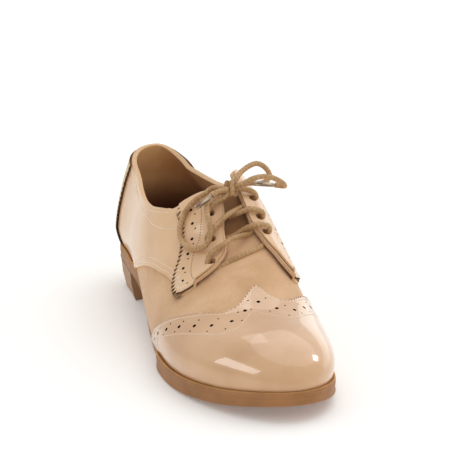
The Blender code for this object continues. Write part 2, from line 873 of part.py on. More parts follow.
def over_facing(share, level):
    """A lace's middle where it lies over the facings, or over the gap between them."""
    step = 1e-4
    here = last_point(share, level)
    along = last_point(share + step, level) - here
    across = last_point(share, level + step) - here
    out = np.cross(along, across)
    out /= np.linalg.norm(out, axis=-1, keepdims=True)
    outer_edge = quarter_edge("upper", share, OUTER)
    across = (level + outer_edge) / (outer_edge + quarter_edge("upper", share, INNER))
    sag = LACE_SAG * np.sin(np.pi * np.clip(across, 0, 1)) ** 2
    height = quarter_outside(share, level) + TRIM_GAP + TRIM_WALL
    height = height + LACE_GAP + LACE_THICKNESS / 2 - sag
    return here + out * height[..., None]


def make_crossings(finish):
    """The bars that cross the throat and the strands up to the knot, as one solid."""
    runs = []
    for first, last in CROSSINGS:
        share, level = np.linspace(EYELETS[first], EYELETS[last], 8).T
        runs.append(over_facing(share, level))
    for eyelet, way, edge in STRANDS:
        share, level = np.linspace(EYELETS[eyelet], edge, 4).T
        over = over_facing(share, level)
        near = [knot_exit(way, LACE_THICKNESS), knot_exit(way, LACE_GAP)]
        runs.append(np.concatenate([over, near]))
    solids = []
    for number, run in enumerate(runs):
        bar = tube("bar_%d" % number, run, LACE_THICKNESS, finish)
        mesh = bpy.data.meshes.new_from_object(bar)
        bpy.data.objects.remove(bar)
        solid = bpy.data.objects.new("lace_bar_%d" % number, mesh)
        bpy.context.scene.collection.objects.link(solid)
        solids.append(solid)
    solids[0].name = "lace_crossings"
    for solid in solids[1:]:
        boolean(solids[0], solid, "UNION")


def make_knot(finish):
    build = bmesh.new()
    bmesh.ops.create_uvsphere(build, u_segments=12, v_segments=8, radius=1)
    place = Matrix.Translation(KNOT_PLACE) @ Matrix.Diagonal((*KNOT_HALF, 1))
    bmesh.ops.transform(build, matrix=place, verts=build.verts)
    mesh = bpy.data.meshes.new("lace_knot")
    build.to_mesh(mesh)
    build.free()
    mesh.shade_smooth()
    mesh.materials.append(finish)
    bpy.context.scene.collection.objects.link(bpy.data.objects.new("lace_knot", mesh))


def make_bow(finish, tip_finish):
    spacing = LACE_STEP * LACE_THICKNESS
    for side, loop, end, tip in (("outer", LOOP_OUTER, END_OUTER, AGLET_OUTER),
                                 ("inner", LOOP_INNER, END_INNER, AGLET_INNER)):
        out, back, free = [[knot_exit(way + side, KNOT_CLEAR)]
                           for way in ("loop_", "back_", "end_")]
        route = smooth_route(np.concatenate([out, loop, back]), spacing)
        tube("lace_loop_" + side, route, LACE_THICKNESS, finish)
        route = smooth_route(np.concatenate([free, end]), spacing / 2)
        tube("lace_end_" + side, route, LACE_THICKNESS, finish)
        tube("aglet_" + side, np.array(tip), AGLET_THICKNESS, tip_finish)


for old in list(bpy.data.objects):
    bpy.data.objects.remove(old, do_unlink=True)

PATENT = material("patent", (0.70, 0.47, 0.29), 0.12, coat=1.0)
SUEDE = material("suede", (0.66, 0.42, 0.25), 0.85)
RUBBER = material("sole_rubber", (0.29, 0.15, 0.06), 0.45)
HEEL_RUBBER = material("heel_rubber", (0.33, 0.20, 0.12), 0.5)
LINING = material("lining", (0.45, 0.25, 0.10), 0.7)
GRAINED = material("grained", (0.62, 0.45, 0.28), 0.6)
WAXED = material("waxed_cord", (0.45, 0.28, 0.14), 0.6)
TIP = material("tip_plastic", (0.45, 0.34, 0.20), 0.2)

outer_cutters = [eyelet_cutter(name, *EYELETS[name]) for name in EYELETS if "outer" in name]
inner_cutters = [eyelet_cutter(name, *EYELETS[name]) for name in EYELETS if "inner" in name]

make_outsole(RUBBER)
make_welt(RUBBER)
make_heel(HEEL_RUBBER)
make_insole(LINING)
make_upper(PATENT, SUEDE, outer_cutters + inner_cutters)
make_toe_cap(PATENT)
make_counter(GRAINED)
make_facing("facing_outer", OUTER, FACING_OUTER, outer_cutters, PATENT)
make_facing("facing_inner", INNER, FACING_INNER, inner_cutters, PATENT)
make_tongue(SUEDE)
make_crossings(WAXED)
make_knot(WAXED)
make_bow(WAXED, TIP)
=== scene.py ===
"""The looks of a woman's laced wing-tip shoe for the right foot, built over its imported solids.

Metres, +Z up, toe towards -Y, the outer side of the foot towards -X. The sections follow the
shoe as it is put together: the last, the upper from its lining outwards, the sole, the lace,
and then the floor, the lights and the camera.
"""
import math

import bmesh
import bpy
import numpy as np
from mathutils import Matrix, Vector


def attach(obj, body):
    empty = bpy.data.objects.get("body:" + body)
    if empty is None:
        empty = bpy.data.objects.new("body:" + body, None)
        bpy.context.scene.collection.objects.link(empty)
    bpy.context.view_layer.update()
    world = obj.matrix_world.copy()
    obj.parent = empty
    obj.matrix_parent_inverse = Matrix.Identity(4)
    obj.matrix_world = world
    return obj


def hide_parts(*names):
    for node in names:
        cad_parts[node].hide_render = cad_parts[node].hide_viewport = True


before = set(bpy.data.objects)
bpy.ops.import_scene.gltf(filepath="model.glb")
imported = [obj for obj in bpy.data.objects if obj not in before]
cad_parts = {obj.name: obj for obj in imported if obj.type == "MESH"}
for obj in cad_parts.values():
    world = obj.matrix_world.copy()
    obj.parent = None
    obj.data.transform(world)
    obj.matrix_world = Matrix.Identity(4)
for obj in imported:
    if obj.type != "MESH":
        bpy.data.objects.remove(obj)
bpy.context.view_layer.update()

# The last
# The form that the whole shoe is shaped on, and that is drawn out of it when it is done.
# Share runs along it from the heel's back (0) to the toe's tip (1), and level runs round a
# section from the outer feather edge (-1) over the ridge (0) to the inner one (1).
LAST_LENGTH = 0.256
BALL_WIDTH = 0.084
INSTEP_HEIGHT = 0.070
HEEL_HEIGHT = 0.024
TOE_SPRING = 0.0081
HEEL_BACK = 0.030
SOLE_BUILD = 0.0086
HEEL_ROUND = 0.115
HEEL_POWER = 2.3
TOE_START = 0.70
TOE_POWER = 2.3
TOE_ROOT = 1.9
TOE_DROP = 0.86
DROP_POWER = 2.4
DROP_ROOT = 2.2
FEATHER_LEVEL = 0.22
FEATHER_WIDTH = 0.94
TUCK_PEAK = 6.75

# One row per section: half widths and lean are shares of the ball width, rise of the heel's
# rise, spring of the toe spring, ridge of the instep height above the feather edge, belly is
# the widest level's share of the section's height, and tuck is how far the inner wall draws
# in at the collar, in ball widths
SECTION = ("share", "outer", "inner", "rise", "spring", "ridge", "belly", "round", "lean", "tuck")
SECTIONS = (
    (0.00, 0.385, 0.340, 1.000, 0.000, 1.071, 0.13, 1.25, -0.12, 0.00),
    (0.12, 0.385, 0.340, 1.000, 0.000, 1.097, 0.13, 1.25, -0.07, 0.12),
    (0.25, 0.410, 0.315, 0.938, 0.000, 1.124, 0.16, 1.35, -0.06, 0.06),
    (0.38, 0.462, 0.290, 0.532, 0.000, 1.110, 0.22, 1.60, -0.02, 0.00),
    (0.50, 0.515, 0.310, 0.143, 0.000, 0.977, 0.25, 1.75, 0.06, 0.00),
    (0.60, 0.545, 0.335, 0.034, 0.000, 0.744, 0.26, 1.70, 0.08, 0.00),
    (0.70, 0.550, 0.350, 0.003, 0.000, 0.571, 0.27, 1.70, 0.05, 0.00),
    (0.80, 0.535, 0.360, 0.000, 0.065, 0.423, 0.28, 1.80, 0.02, 0.00),
    (0.90, 0.500, 0.380, 0.000, 0.300, 0.331, 0.30, 2.00, 0.00, 0.00),
    (1.00, 0.450, 0.420, 0.000, 0.775, 0.250, 0.32, 2.10, 0.00, 0.00),
)

# How far the heel's back stands forward, in metres, at each share of the last's height. The
# shift fades out along the last, and is gone at the share BACK_FADE
BACK_FADE = 0.35
BACK_LINE = ("height", "forward")
BACK_LINES = (
    (0.00, 0.0035),
    (0.25, 0.0005),
    (0.45, 0.0000),
    (0.75, 0.0040),
    (1.00, 0.0120),
)


def column(rows, names, name):
    return np.array([row[names.index(name)] for row in rows])


def smooth(rows, names, name, at, key=None):
    """A cubic through a table's rows that can't swing past them."""
    x = column(rows, names, key or names[0])
    y = column(rows, names, name)
    at = np.clip(np.asarray(at, float), x[0], x[-1])
    step = np.diff(x)
    rise = np.diff(y) / step
    slope = np.gradient(y, x)
    flat = np.minimum(np.abs(rise[:-1]), np.abs(rise[1:])) * 3
    same = rise[:-1] * rise[1:] > 0
    slope[1:-1] = np.where(same, np.clip(slope[1:-1], -flat, flat), 0)
    i = np.clip(np.searchsorted(x, at, side="right") - 1, 0, len(x) - 2)
    q = (at - x[i]) / step[i]
    ends = (1 + 2 * q) * (1 - q) ** 2 * y[i] + q * q * (3 - 2 * q) * y[i + 1]
    turns = q * (1 - q) ** 2 * slope[i] - q * q * (1 - q) * slope[i + 1]
    return ends + turns * step[i]


def section(name, share):
    return smooth(SECTIONS, SECTION, name, share)


def ease(low, high, value):
    q = np.clip((value - low) / (high - low), 0, 1)
    return q * q * (3 - 2 * q)


def feather_height(share):
    """Height of the edge where the upper meets the sole."""
    rise = section("rise", share) * (HEEL_HEIGHT - SOLE_BUILD)
    return SOLE_BUILD + rise + section("spring", share) * TOE_SPRING


def width_close(share):
    toe = np.clip((share - TOE_START) / (1 - TOE_START), 0, 1)
    heel = np.clip(1 - share / HEEL_ROUND, 0, 1)
    return (1 - toe ** TOE_POWER) ** (1 / TOE_ROOT) * np.sqrt(1 - heel ** HEEL_POWER)


def height_close(share):
    toe = np.clip((share - TOE_DROP) / (1 - TOE_DROP), 0, 1)
    return (1 - toe ** DROP_POWER) ** (1 / DROP_ROOT)


def last_point(share, level):
    """The last's surface, as arrays of x, y, z."""
    share, level = np.broadcast_arrays(np.asarray(share, float), np.asarray(level, float))
    up = 1 - np.abs(level)
    half = np.where(level < 0, section("outer", share), section("inner", share))
    half = half * BALL_WIDTH * width_close(share)
    low = feather_height(share)
    tall = INSTEP_HEIGHT * section("ridge", share) * height_close(share)
    belly = tall * section("belly", share)
    near = np.clip(up / FEATHER_LEVEL, 0, 1)
    turn = np.clip((up - FEATHER_LEVEL) / (1 - FEATHER_LEVEL), 0, 1) * np.pi / 2
    power = 2 / section("round", share)
    wall_x = half * (FEATHER_WIDTH + (1 - FEATHER_WIDTH) * np.sin(near * np.pi / 2))
    dome_x = half * np.cos(turn) ** power
    wall_z = belly * near
    dome_z = belly + (tall - belly) * np.sin(turn) ** power
    wall = up < FEATHER_LEVEL
    x = np.where(wall, wall_x, dome_x)
    z = np.where(wall, wall_z, dome_z)
    height = z / np.maximum(tall, 1e-9)
    lean = BALL_WIDTH * section("lean", share) * height
    drawn = BALL_WIDTH * section("tuck", share) * TUCK_PEAK * height ** 2 * (1 - height)
    x = np.where(level > 0, x - drawn, x)
    fade = np.clip(1 - share / BACK_FADE, 0, 1) ** 2
    forward = np.interp(height, column(BACK_LINES, BACK_LINE, "height"),
                        column(BACK_LINES, BACK_LINE, "forward")) * fade
    y = HEEL_BACK - share * LAST_LENGTH - forward
    return np.stack([np.sign(level) * x + lean, y, low + z], -1)


def normals(grid, pole):
    """Normals of a grid over the last, pointing away from the middle of its own section."""
    out = np.cross(np.gradient(grid, axis=0), np.gradient(grid, axis=1))
    middle = np.array([0, 0, HEEL_HEIGHT])
    if np.sum(out * (grid - middle) * (1, 0, 1)) < 0:
        out = -out
    if pole:
        out[-1] = (0, -1, 0)
    out /= np.maximum(np.linalg.norm(out, axis=-1, keepdims=True), 1e-12)
    return out


# The vamp
# Soft matt suede over the front of the foot, drawn over the last and tucked under the sole.
# It runs on under the quarters and the cap, and its inner face carries the cloth lining.
VAMP_WALL = 0.0013
VAMP_REACH = 0.995
VAMP_COLUMNS = 190
VAMP_ROWS = 110
SHARP_ANGLE = 0.7
MERGE_DISTANCE = 1e-6

# The vamp's hidden back edge, which runs on under the quarters
VAMP_BACK = ("level", "share")
VAMP_BACKS = (
    (0.00, 0.600),
    (0.30, 0.585),
    (0.45, 0.555),
    (0.60, 0.490),
    (0.80, 0.360),
    (1.00, 0.235),
)


def wall_faces(rows, columns, pole):
    """Faces of a wall over a grid, with a 0 for the outer skin, 1 for the inner, 2 for the rim."""
    count = rows * columns
    faces = []
    skins = []
    for i in range(rows - 1):
        for j in range(columns - 1):
            a = i * columns + j
            quad = (a, a + 1, a + columns + 1, a + columns)
            faces += [quad, tuple(count + k for k in reversed(quad))]
            skins += [0, 1]
    rim = list(range(columns))
    rim += [(i + 1) * columns - 1 for i in range(1, rows)]
    if pole:
        rim += [i * columns for i in range(rows - 1, 0, -1)]
    else:
        rim += [(rows - 1) * columns + j for j in range(columns - 2, -1, -1)]
        rim += [i * columns for i in range(rows - 2, 0, -1)]
    for a, b in zip(rim, rim[1:] + rim[:1]):
        faces.append((b, a, count + a, count + b))
        skins.append(2)
    return faces, skins


def tidy_faces(points, faces, skins):
    """Drops the doubled corners that a pole leaves, and faces with no area."""
    place = np.round(points, 7)
    same = {}
    first = [same.setdefault(tuple(p), k) for k, p in enumerate(place)]
    kept, kept_skins = [], []
    for face, skin in zip(faces, skins):
        corners = [k for n, k in enumerate(face) if first[k] != first[face[n - 1]]]
        if len(corners) > 2:
            kept.append(tuple(corners))
            kept_skins.append(skin)
    return kept, kept_skins


def make_piece(name, points, faces, finishes, skins=None):
    """A closed mesh at the origin, shaded smooth but for its sharp edges."""
    mesh = bpy.data.meshes.new(name)
    mesh.from_pydata(np.asarray(points).tolist(), [], faces)
    for finish in finishes:
        mesh.materials.append(finish)
    if skins is not None:
        mesh.polygons.foreach_set("material_index", np.array(skins, dtype=np.int32))
    build = bmesh.new()
    build.from_mesh(mesh)
    bmesh.ops.remove_doubles(build, verts=build.verts, dist=MERGE_DISTANCE)
    bmesh.ops.recalc_face_normals(build, faces=build.faces)
    build.to_mesh(mesh)
    build.free()
    mesh.shade_smooth()
    mesh.set_sharp_from_angle(angle=SHARP_ANGLE)
    piece = bpy.data.objects.new(name, mesh)
    bpy.context.scene.collection.objects.link(piece)
    return piece


def make_wall(name, share, level, inner, outer, finishes, pole=False):
    """A leather wall between two offsets of the last, over a grid of share and level."""
    grid = last_point(share, level)
    out = normals(grid, pole)
    skins = [grid + out * np.broadcast_to(d, share.shape)[..., None] for d in (outer, inner)]
    if pole:
        for skin in skins:
            skin[-1] = skin[-1, share.shape[1] // 2]
    points = np.concatenate([skin.reshape(-1, 3) for skin in skins])
    faces, marks = wall_faces(*share.shape, pole)
    faces, marks = tidy_faces(points, faces, marks)
    return make_piece(name, points, faces, finishes, marks)


class Wire:
    """A shader value that Python's own operators work on, each as a Math node."""

    def __init__(self, paint, socket):
        self.paint = paint
        self.socket = socket

    def math(self, operation, *others):
        return self.paint.add("ShaderNodeMath", {"operation": operation}, self, *others)

    def __add__(self, other):
        return self.math("ADD", other)

    __radd__ = __add__

    def __sub__(self, other):
        return self.math("SUBTRACT", other)

    def __mul__(self, other):
        return self.math("MULTIPLY", other)

    def __truediv__(self, other):
        return self.math("DIVIDE", other)

    def step(self, low, high):
        """0 below low and 1 above high, with a soft rise between."""
        settings = {"interpolation_type": "SMOOTHSTEP"}
        return self.paint.add("ShaderNodeMapRange", settings, self, low, high)


class Paint:
    """One material, built from expressions."""

    def __init__(self, name):
        self.material = bpy.data.materials.new(name)
        self.material.use_nodes = True
        self.nodes = self.material.node_tree.nodes
        self.links = self.material.node_tree.links
        self.shader = self.nodes["Principled BSDF"]
        self.place = self.add("ShaderNodeTexCoord", {}, out="Object")

    def add(self, kind, settings, *values, out=0, **named):
        """Adds a node: its settings first, then values or links for its sockets."""
        node = self.nodes.new(kind)
        for key, value in settings.items():
            setattr(node, key, value)
        pairs = list(enumerate(values)) + [(k.replace("_", " "), v) for k, v in named.items()]
        for key, value in pairs:
            self.feed(node.inputs[key], value)
        return Wire(self, node.outputs[out])

    def feed(self, socket, value):
        if isinstance(value, Wire):
            self.links.new(value.socket, socket)
        else:
            socket.default_value = value

    def noise(self, scale, detail, roughness):
        """Noise of so many waves a metre, from 0 to 1."""
        return self.add("ShaderNodeTexNoise", {}, Vector=self.place, Scale=scale, Detail=detail,
                        Roughness=roughness, out="Fac")

    def cells(self, scale):
        """Distance from the middle of the nearest cell, with so many cells a metre."""
        return self.add("ShaderNodeTexVoronoi", {}, Vector=self.place, Scale=scale, out="Distance")

    def mix(self, factor, first, second):
        """A colour between two."""
        node = self.nodes.new("ShaderNodeMix")
        node.data_type = "RGBA"
        self.feed(node.inputs[0], factor)
        self.feed(node.inputs[6], first)
        self.feed(node.inputs[7], second)
        return Wire(self, node.outputs[2])

    def bump(self, height, distance, strength=1.0, under=None):
        """A normal from a height between 0 and 1, worth so many metres."""
        settings = {"Strength": strength, "Distance": distance, "Height": height}
        if under:
            settings["Normal"] = under
        return self.add("ShaderNodeBump", {}, **settings)

    def finish(self, **sockets):
        for key, value in sockets.items():
            self.feed(self.shader.inputs[key.replace("_", " ")], value)
        return self.material


def tone(red, green, blue):
    """A colour from its red, green and blue in 0 to 255, as a screen shows them."""
    bare = [value / 255 for value in (red, green, blue)]
    line = [v / 12.92 if v <= 0.04045 else ((v + 0.055) / 1.055) ** 2.4 for v in bare]
    return (*line, 1.0)


def make_suede(name, dark, light, nap_tone):
    paint = Paint(name)
    nap = paint.noise(900, 4, 0.65)
    patch = paint.noise(55, 3, 0.6)
    grain = paint.noise(3200, 2, 0.6)
    base = paint.mix(patch.step(0.30, 0.72), dark, light)
    base = paint.mix(nap.step(0.25, 0.75) * 0.30, base, nap_tone)
    height = nap * 0.6 + grain * 0.4
    return paint.finish(Base_Color=base, Roughness=0.92, Normal=paint.bump(height, 0.00025, 0.8),
                        Specular_IOR_Level=0.25, Sheen_Weight=0.25, Sheen_Roughness=0.5)


# Heights between which painted shade darkens the lining towards the deep inside of the shoe
LINING_SHADE_LOW = 0.036
LINING_SHADE_HIGH = 0.062


def make_lining():
    paint = Paint("lining")
    weave = paint.noise(1400, 2, 0.6)
    patch = paint.noise(40, 3, 0.6)
    high = paint.add("ShaderNodeSeparateXYZ", {}, paint.place, out=2)
    base = paint.mix(patch.step(0.3, 0.7), tone(222, 164, 104), tone(238, 186, 128))
    # Painted shade: the lining turns dark brown below the lower height
    base = paint.mix(high.step(LINING_SHADE_LOW, LINING_SHADE_HIGH), tone(92, 44, 16), base)
    return paint.finish(Base_Color=base, Roughness=0.75, Normal=paint.bump(weave, 0.0001, 0.5),
                        Specular_IOR_Level=0.35)


def make_cut_edge(name, dark, light):
    paint = Paint(name)
    fibre = paint.noise(1500, 3, 0.6)
    base = paint.mix(fibre.step(0.3, 0.7), dark, light)
    return paint.finish(Base_Color=base, Roughness=0.8, Normal=paint.bump(fibre, 0.0001, 0.5))


def toe_grid(levels, back, rows, power=1.0):
    """Grid from a back edge to the pole at the toe's tip, closest at the tip."""
    run = np.sin(np.linspace(0, np.pi / 2, rows)) ** power
    share = back[None, :] + (1 - back[None, :]) * run[:, None]
    return share, np.repeat(levels[None, :], rows, 0)


# Metres round the foot that one unit of level is worth
GIRTH_SCALE = 0.055

# Soft folds that wear has set in the leather, each along a line from one place to another
CREASE = ("share", "level", "to_share", "to_level", "width", "height")
VAMP_CREASES = (
    (0.690, -0.620, 0.735, -0.240, 0.0050, -0.0005),
    (0.660, -0.700, 0.700, -0.420, 0.0045, -0.0004),
    (0.715, -0.560, 0.755, -0.330, 0.0040, 0.0003),
    (0.700, -0.150, 0.690, 0.220, 0.0060, -0.0004),
    (0.720, 0.250, 0.690, 0.600, 0.0050, -0.0005),
    (0.600, -0.860, 0.500, -0.840, 0.0060, -0.0005),
    (0.560, -0.800, 0.470, -0.800, 0.0045, 0.0004),
)


def creased(rows, share, level):
    """Height that the creases of a table give each point of the leather."""
    total = np.zeros(np.shape(share))
    places = [column(rows, CREASE, name) for name in CREASE]
    for first, start, last, end, width, height in zip(*places):
        x, y = (share - first) * LAST_LENGTH, (level - start) * GIRTH_SCALE
        run_x, run_y = (last - first) * LAST_LENGTH, (end - start) * GIRTH_SCALE
        along = np.clip((x * run_x + y * run_y) / (run_x ** 2 + run_y ** 2), 0, 1)
        away = np.hypot(x - along * run_x, y - along * run_y)
        total += height * np.exp(-(away / width) ** 2) * (0.4 + 0.6 * np.sin(np.pi * along))
    return total


SUEDE = make_suede("suede", tone(214, 170, 126), tone(230, 190, 148), tone(196, 148, 103))
LINING = make_lining()
CUT_EDGE = make_cut_edge("cut_edge", tone(208, 166, 122), tone(232, 196, 154))

levels = np.linspace(-VAMP_REACH, VAMP_REACH, VAMP_COLUMNS)
back = smooth(VAMP_BACKS, VAMP_BACK, "share", np.abs(levels))
share, level = toe_grid(levels, back, VAMP_ROWS)
fold = creased(VAMP_CREASES, share, level)
vamp = make_wall("vamp", share, level, fold - VAMP_WALL, fold, (SUEDE, LINING, CUT_EDGE),
                 pole=True)
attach(vamp, "root")
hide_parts("upper")

# The quarters
# Two patent panels that wrap the heel and close over the throat as loose flaps. They are
# sewn down on the vamp along a curved seam, and lined inside like it.
QUARTER_WALL = 0.0025
QUARTER_STEP = 0.0010
FLAP_WALL = 0.0020
FLAP_LIFT = 0.0026
LIFT_START = 0.47
LIFT_FULL = 0.56
LIFT_SEAM = 0.40
LIFT_EDGE = 0.85

# The quarters' edges: lower is the level of the bottom edge and of the seam on the vamp,
# upper the level of the collar and then of the free edge beside the throat
QUARTER = ("share", "lower", "upper")
QUARTER_OUTER = (
    (0.000, 0.990, 0.362),
    (0.035, 0.990, 0.380),
    (0.080, 0.990, 0.402),
    (0.150, 0.990, 0.438),
    (0.260, 0.990, 0.482),
    (0.300, 0.930, 0.488),
    (0.360, 0.840, 0.480),
    (0.404, 0.771, 0.458),
    (0.440, 0.715, 0.420),
    (0.462, 0.682, 0.386),
    (0.478, 0.660, 0.342),
    (0.486, 0.649, 0.270),
    (0.494, 0.638, 0.190),
    (0.504, 0.626, 0.130),
    (0.520, 0.605, 0.110),
    (0.545, 0.576, 0.120),
    (0.585, 0.523, 0.157),
    (0.611, 0.502, 0.167),
    (0.636, 0.494, 0.178),
    (0.652, 0.490, 0.208),
    (0.664, 0.482, 0.255),
    (0.670, 0.460, 0.300),
    (0.674, 0.420, 0.352),
)
QUARTER_INNER = (
    (0.000, 0.990, 0.362),
    (0.035, 0.990, 0.408),
    (0.080, 0.990, 0.428),
    (0.150, 0.990, 0.440),
    (0.260, 0.990, 0.468),
    (0.300, 0.930, 0.462),
    (0.345, 0.860, 0.430),
    (0.382, 0.800, 0.377),
    (0.410, 0.755, 0.340),
    (0.430, 0.730, 0.300),
    (0.442, 0.715, 0.240),
    (0.450, 0.705, 0.170),
    (0.460, 0.690, 0.110),
    (0.480, 0.665, 0.060),
    (0.510, 0.625, 0.020),
    (0.540, 0.580, 0.004),
    (0.567, 0.548, 0.004),
    (0.595, 0.513, 0.025),
    (0.611, 0.500, 0.062),
    (0.637, 0.485, 0.127),
    (0.651, 0.475, 0.182),
    (0.668, 0.455, 0.237),
    (0.680, 0.420, 0.290),
    (0.686, 0.385, 0.335),
)
EYELET_BORE = 0.0042
EYELET_DEPTH = 0.020
QUARTER_ROUND = 0.0007
ROUND_ANGLE = 0.9
QUARTER_LEVELS = 44

# A small step of share or level, for reading which way the leather runs
NUDGE = 1e-4

# Eyelets, three a side, as share and level
EYELETS = {
    "outer_low": (0.649, -0.282),
    "outer_middle": (0.595, -0.250),
    "outer_top": (0.545, -0.215),
    "inner_low": (0.604, 0.160),
    "inner_middle": (0.570, 0.150),
    "inner_top": (0.530, 0.150),
}
OUTER, INNER = -1, 1


def make_patent(name, light, dark, coat):
    paint = Paint(name)
    cloud = paint.noise(45, 3, 0.55)
    pores = paint.noise(1800, 2, 0.5)
    wave = paint.noise(70, 2, 0.5)
    base = paint.mix(cloud.step(0.25, 0.75), dark, light)
    rough = 0.30 + pores * 0.08
    bumps = paint.bump(wave, 0.0006, 0.35)
    bumps = paint.bump(pores, 0.00003, 0.35, bumps)
    return paint.finish(Base_Color=base, Roughness=rough, Coat_Weight=coat, Coat_Roughness=0.03,
                        Normal=bumps, Specular_IOR_Level=0.3)


def quarter_edge(name, share, side):
    rows = QUARTER_OUTER if side == OUTER else QUARTER_INNER
    return smooth(rows, QUARTER, name, share)


def flap_lift(share, level, side):
    """How much of the flap's lift a point of the quarter has: none along its seams."""
    lower = quarter_edge("lower", share, side)
    upper = quarter_edge("upper", share, side)
    across = (lower - np.abs(level)) / (lower - upper)
    return ease(LIFT_START, LIFT_FULL, share) * ease(LIFT_SEAM, LIFT_EDGE, across)


def both_lifts(share, level):
    return np.where(level < 0, flap_lift(share, level, OUTER), flap_lift(share, level, INNER))


def heel_stations(count, reach=HEEL_ROUND):
    return reach * (1 - np.cos(np.linspace(0, np.pi / 2, count)))


def round_heel(outer, inner):
    """Joins the stations of both sides into one run round the heel's back."""
    shares = np.concatenate([outer[::-1], inner[1:]])
    sides = np.concatenate([np.full(len(outer), OUTER), np.full(len(inner) - 1, INNER)])
    return shares, sides


def quarter_sheet(levels):
    """Grid of share and level over both quarters, from one tip to the other."""
    runs = []
    for rows in (QUARTER_OUTER, QUARTER_INNER):
        tip = rows[-1][0]
        runs.append(np.concatenate([heel_stations(36), np.linspace(HEEL_ROUND, 0.45, 80)[1:],
                                    np.linspace(0.45, tip, 110)[1:]]))
    shares, sides = round_heel(*runs)
    across = np.linspace(0, 1, levels)
    lower = np.where(sides == OUTER, quarter_edge("lower", shares, OUTER),
                     quarter_edge("lower", shares, INNER))
    upper = np.where(sides == OUTER, quarter_edge("upper", shares, OUTER),
                     quarter_edge("upper", shares, INNER))
    level = sides[:, None] * (lower[:, None] + (upper - lower)[:, None] * across)
    return np.repeat(shares[:, None], levels, 1), level


def plain(piece):
    """The piece with its modifiers worked into its mesh."""
    depsgraph = bpy.context.evaluated_depsgraph_get()
    mesh = bpy.data.meshes.new_from_object(piece.evaluated_get(depsgraph))
    piece.modifiers.clear()
    piece.data = mesh
    return piece


def cut(piece, tool):
    """Cuts the tool out of the piece, and leaves the tool's material on the cut."""
    change = piece.modifiers.new("cut", "BOOLEAN")
    change.operation = "DIFFERENCE"
    change.solver = "EXACT"
    change.material_mode = "TRANSFER"
    change.object = tool
    plain(piece)
    piece.data.shade_smooth()
    piece.data.set_sharp_from_angle(angle=SHARP_ANGLE)


def soften(piece, width):
    """Rounds a piece's cut edges."""
    change = piece.modifiers.new("edge", "BEVEL")
    change.width = width
    change.segments = 2
    change.limit_method = "ANGLE"
    change.angle_limit = ROUND_ANGLE
    plain(piece)
    piece.data.shade_smooth()
    piece.data.set_sharp_from_angle(angle=ROUND_ANGLE)


def eyelet_tool(name, places, bore, depth, finish):
    """Cylinders that stand square on the last at each place, as one tool."""
    build = bmesh.new()
    for share, level in places:
        step = NUDGE
        centre = Vector(last_point(share, level))
        along = last_point(share + step, level) - last_point(share - step, level)
        across = last_point(share, level + step) - last_point(share, level - step)
        turn = Vector(np.cross(along, across)).to_track_quat("Z", "Y").to_matrix().to_4x4()
        bmesh.ops.create_cone(build, cap_ends=True, segments=20, depth=depth, radius1=bore / 2,
                              radius2=bore / 2, matrix=Matrix.Translation(centre) @ turn)
    mesh = bpy.data.meshes.new(name)
    build.to_mesh(mesh)
    build.free()
    mesh.materials.append(finish)
    tool = bpy.data.objects.new(name, mesh)
    bpy.context.scene.collection.objects.link(tool)
    return tool


PATENT = make_patent("patent_quarter", tone(234, 195, 153), tone(226, 184, 141), 0.35)

FLAP_CREASES = (
    (0.560, -0.330, 0.610, -0.200, 0.0022, -0.0005),
    (0.585, -0.350, 0.640, -0.260, 0.0018, 0.0004),
    (0.540, -0.300, 0.575, -0.170, 0.0016, 0.0003),
    (0.470, -0.600, 0.515, -0.560, 0.0012, -0.0003),
    (0.455, -0.560, 0.505, -0.530, 0.0011, -0.0003),
    (0.120, -0.700, 0.260, -0.650, 0.0080, -0.0005),
    (0.120, 0.700, 0.260, 0.650, 0.0080, -0.0005),
    (0.610, 0.420, 0.560, 0.260, 0.0022, -0.0004),
)

share, level = quarter_sheet(QUARTER_LEVELS)
lift = both_lifts(share, level)
outside = QUARTER_STEP + FLAP_LIFT * lift + creased(FLAP_CREASES, share, level)
leather = QUARTER_WALL + (FLAP_WALL - QUARTER_WALL) * lift
quarters = make_wall("quarters", share, level, outside - leather, outside,
                     (PATENT, LINING, CUT_EDGE))
eyelets = eyelet_tool("eyelets", EYELETS.values(), EYELET_BORE, EYELET_DEPTH, CUT_EDGE)
cut(quarters, eyelets)
soften(quarters, QUARTER_ROUND)
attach(quarters, "root")
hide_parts("upper")

# The toe cap
# A patent wing tip laid over the vamp: its back edge is pinked into teeth, and a band of
# punched holes runs along it between two rows of stitches.
TRIM_WALL = 0.0009
TRIM_GAP = 0.0004

# The toe cap's back edge: a wing that rises to a point a little outside the ridge
WING = ("level", "share")
WINGS = (
    (-1.000, 0.592),
    (-0.900, 0.620),
    (-0.750, 0.662),
    (-0.590, 0.705),
    (-0.456, 0.743),
    (-0.370, 0.766),
    (-0.297, 0.785),
    (-0.237, 0.791),
    (-0.177, 0.783),
    (-0.130, 0.765),
    (-0.065, 0.742),
    (0.000, 0.765),
    (0.060, 0.779),
    (0.120, 0.785),
    (0.190, 0.782),
    (0.270, 0.769),
    (0.380, 0.742),
    (0.550, 0.698),
    (0.720, 0.658),
    (0.900, 0.618),
    (1.000, 0.592),
)
PINK_PITCH = 0.0023
PINK_DEPTH = 0.0016
TRIM_UNDER = 0.00040
PINK_FADE = 0.0020
CAP_REACH = 0.985
CAP_ROWS = 56
CAP_CLOSING = 1.15


def run_along(points):
    """Length run from the first point of a line to each of its points."""
    steps = np.linalg.norm(np.diff(points, axis=0), axis=1)
    return np.concatenate([[0], np.cumsum(steps)])


def along_edge(rows, names, first, last, key, value):
    """An edge of the table sampled closely, with the length run along it."""
    at = np.linspace(first, last, 4000)
    other = smooth(rows, names, value, at, key)
    share, level = (other, at) if key == "level" else (at, other)
    points = last_point(share, level)
    run = run_along(points)
    return at, run


def pinked(run, pitch, depth):
    """A zigzag of so many samples a tooth, from 0 in the valleys to its depth."""
    q = run / pitch % 1
    return depth * (1 - np.abs(2 * q - 1))


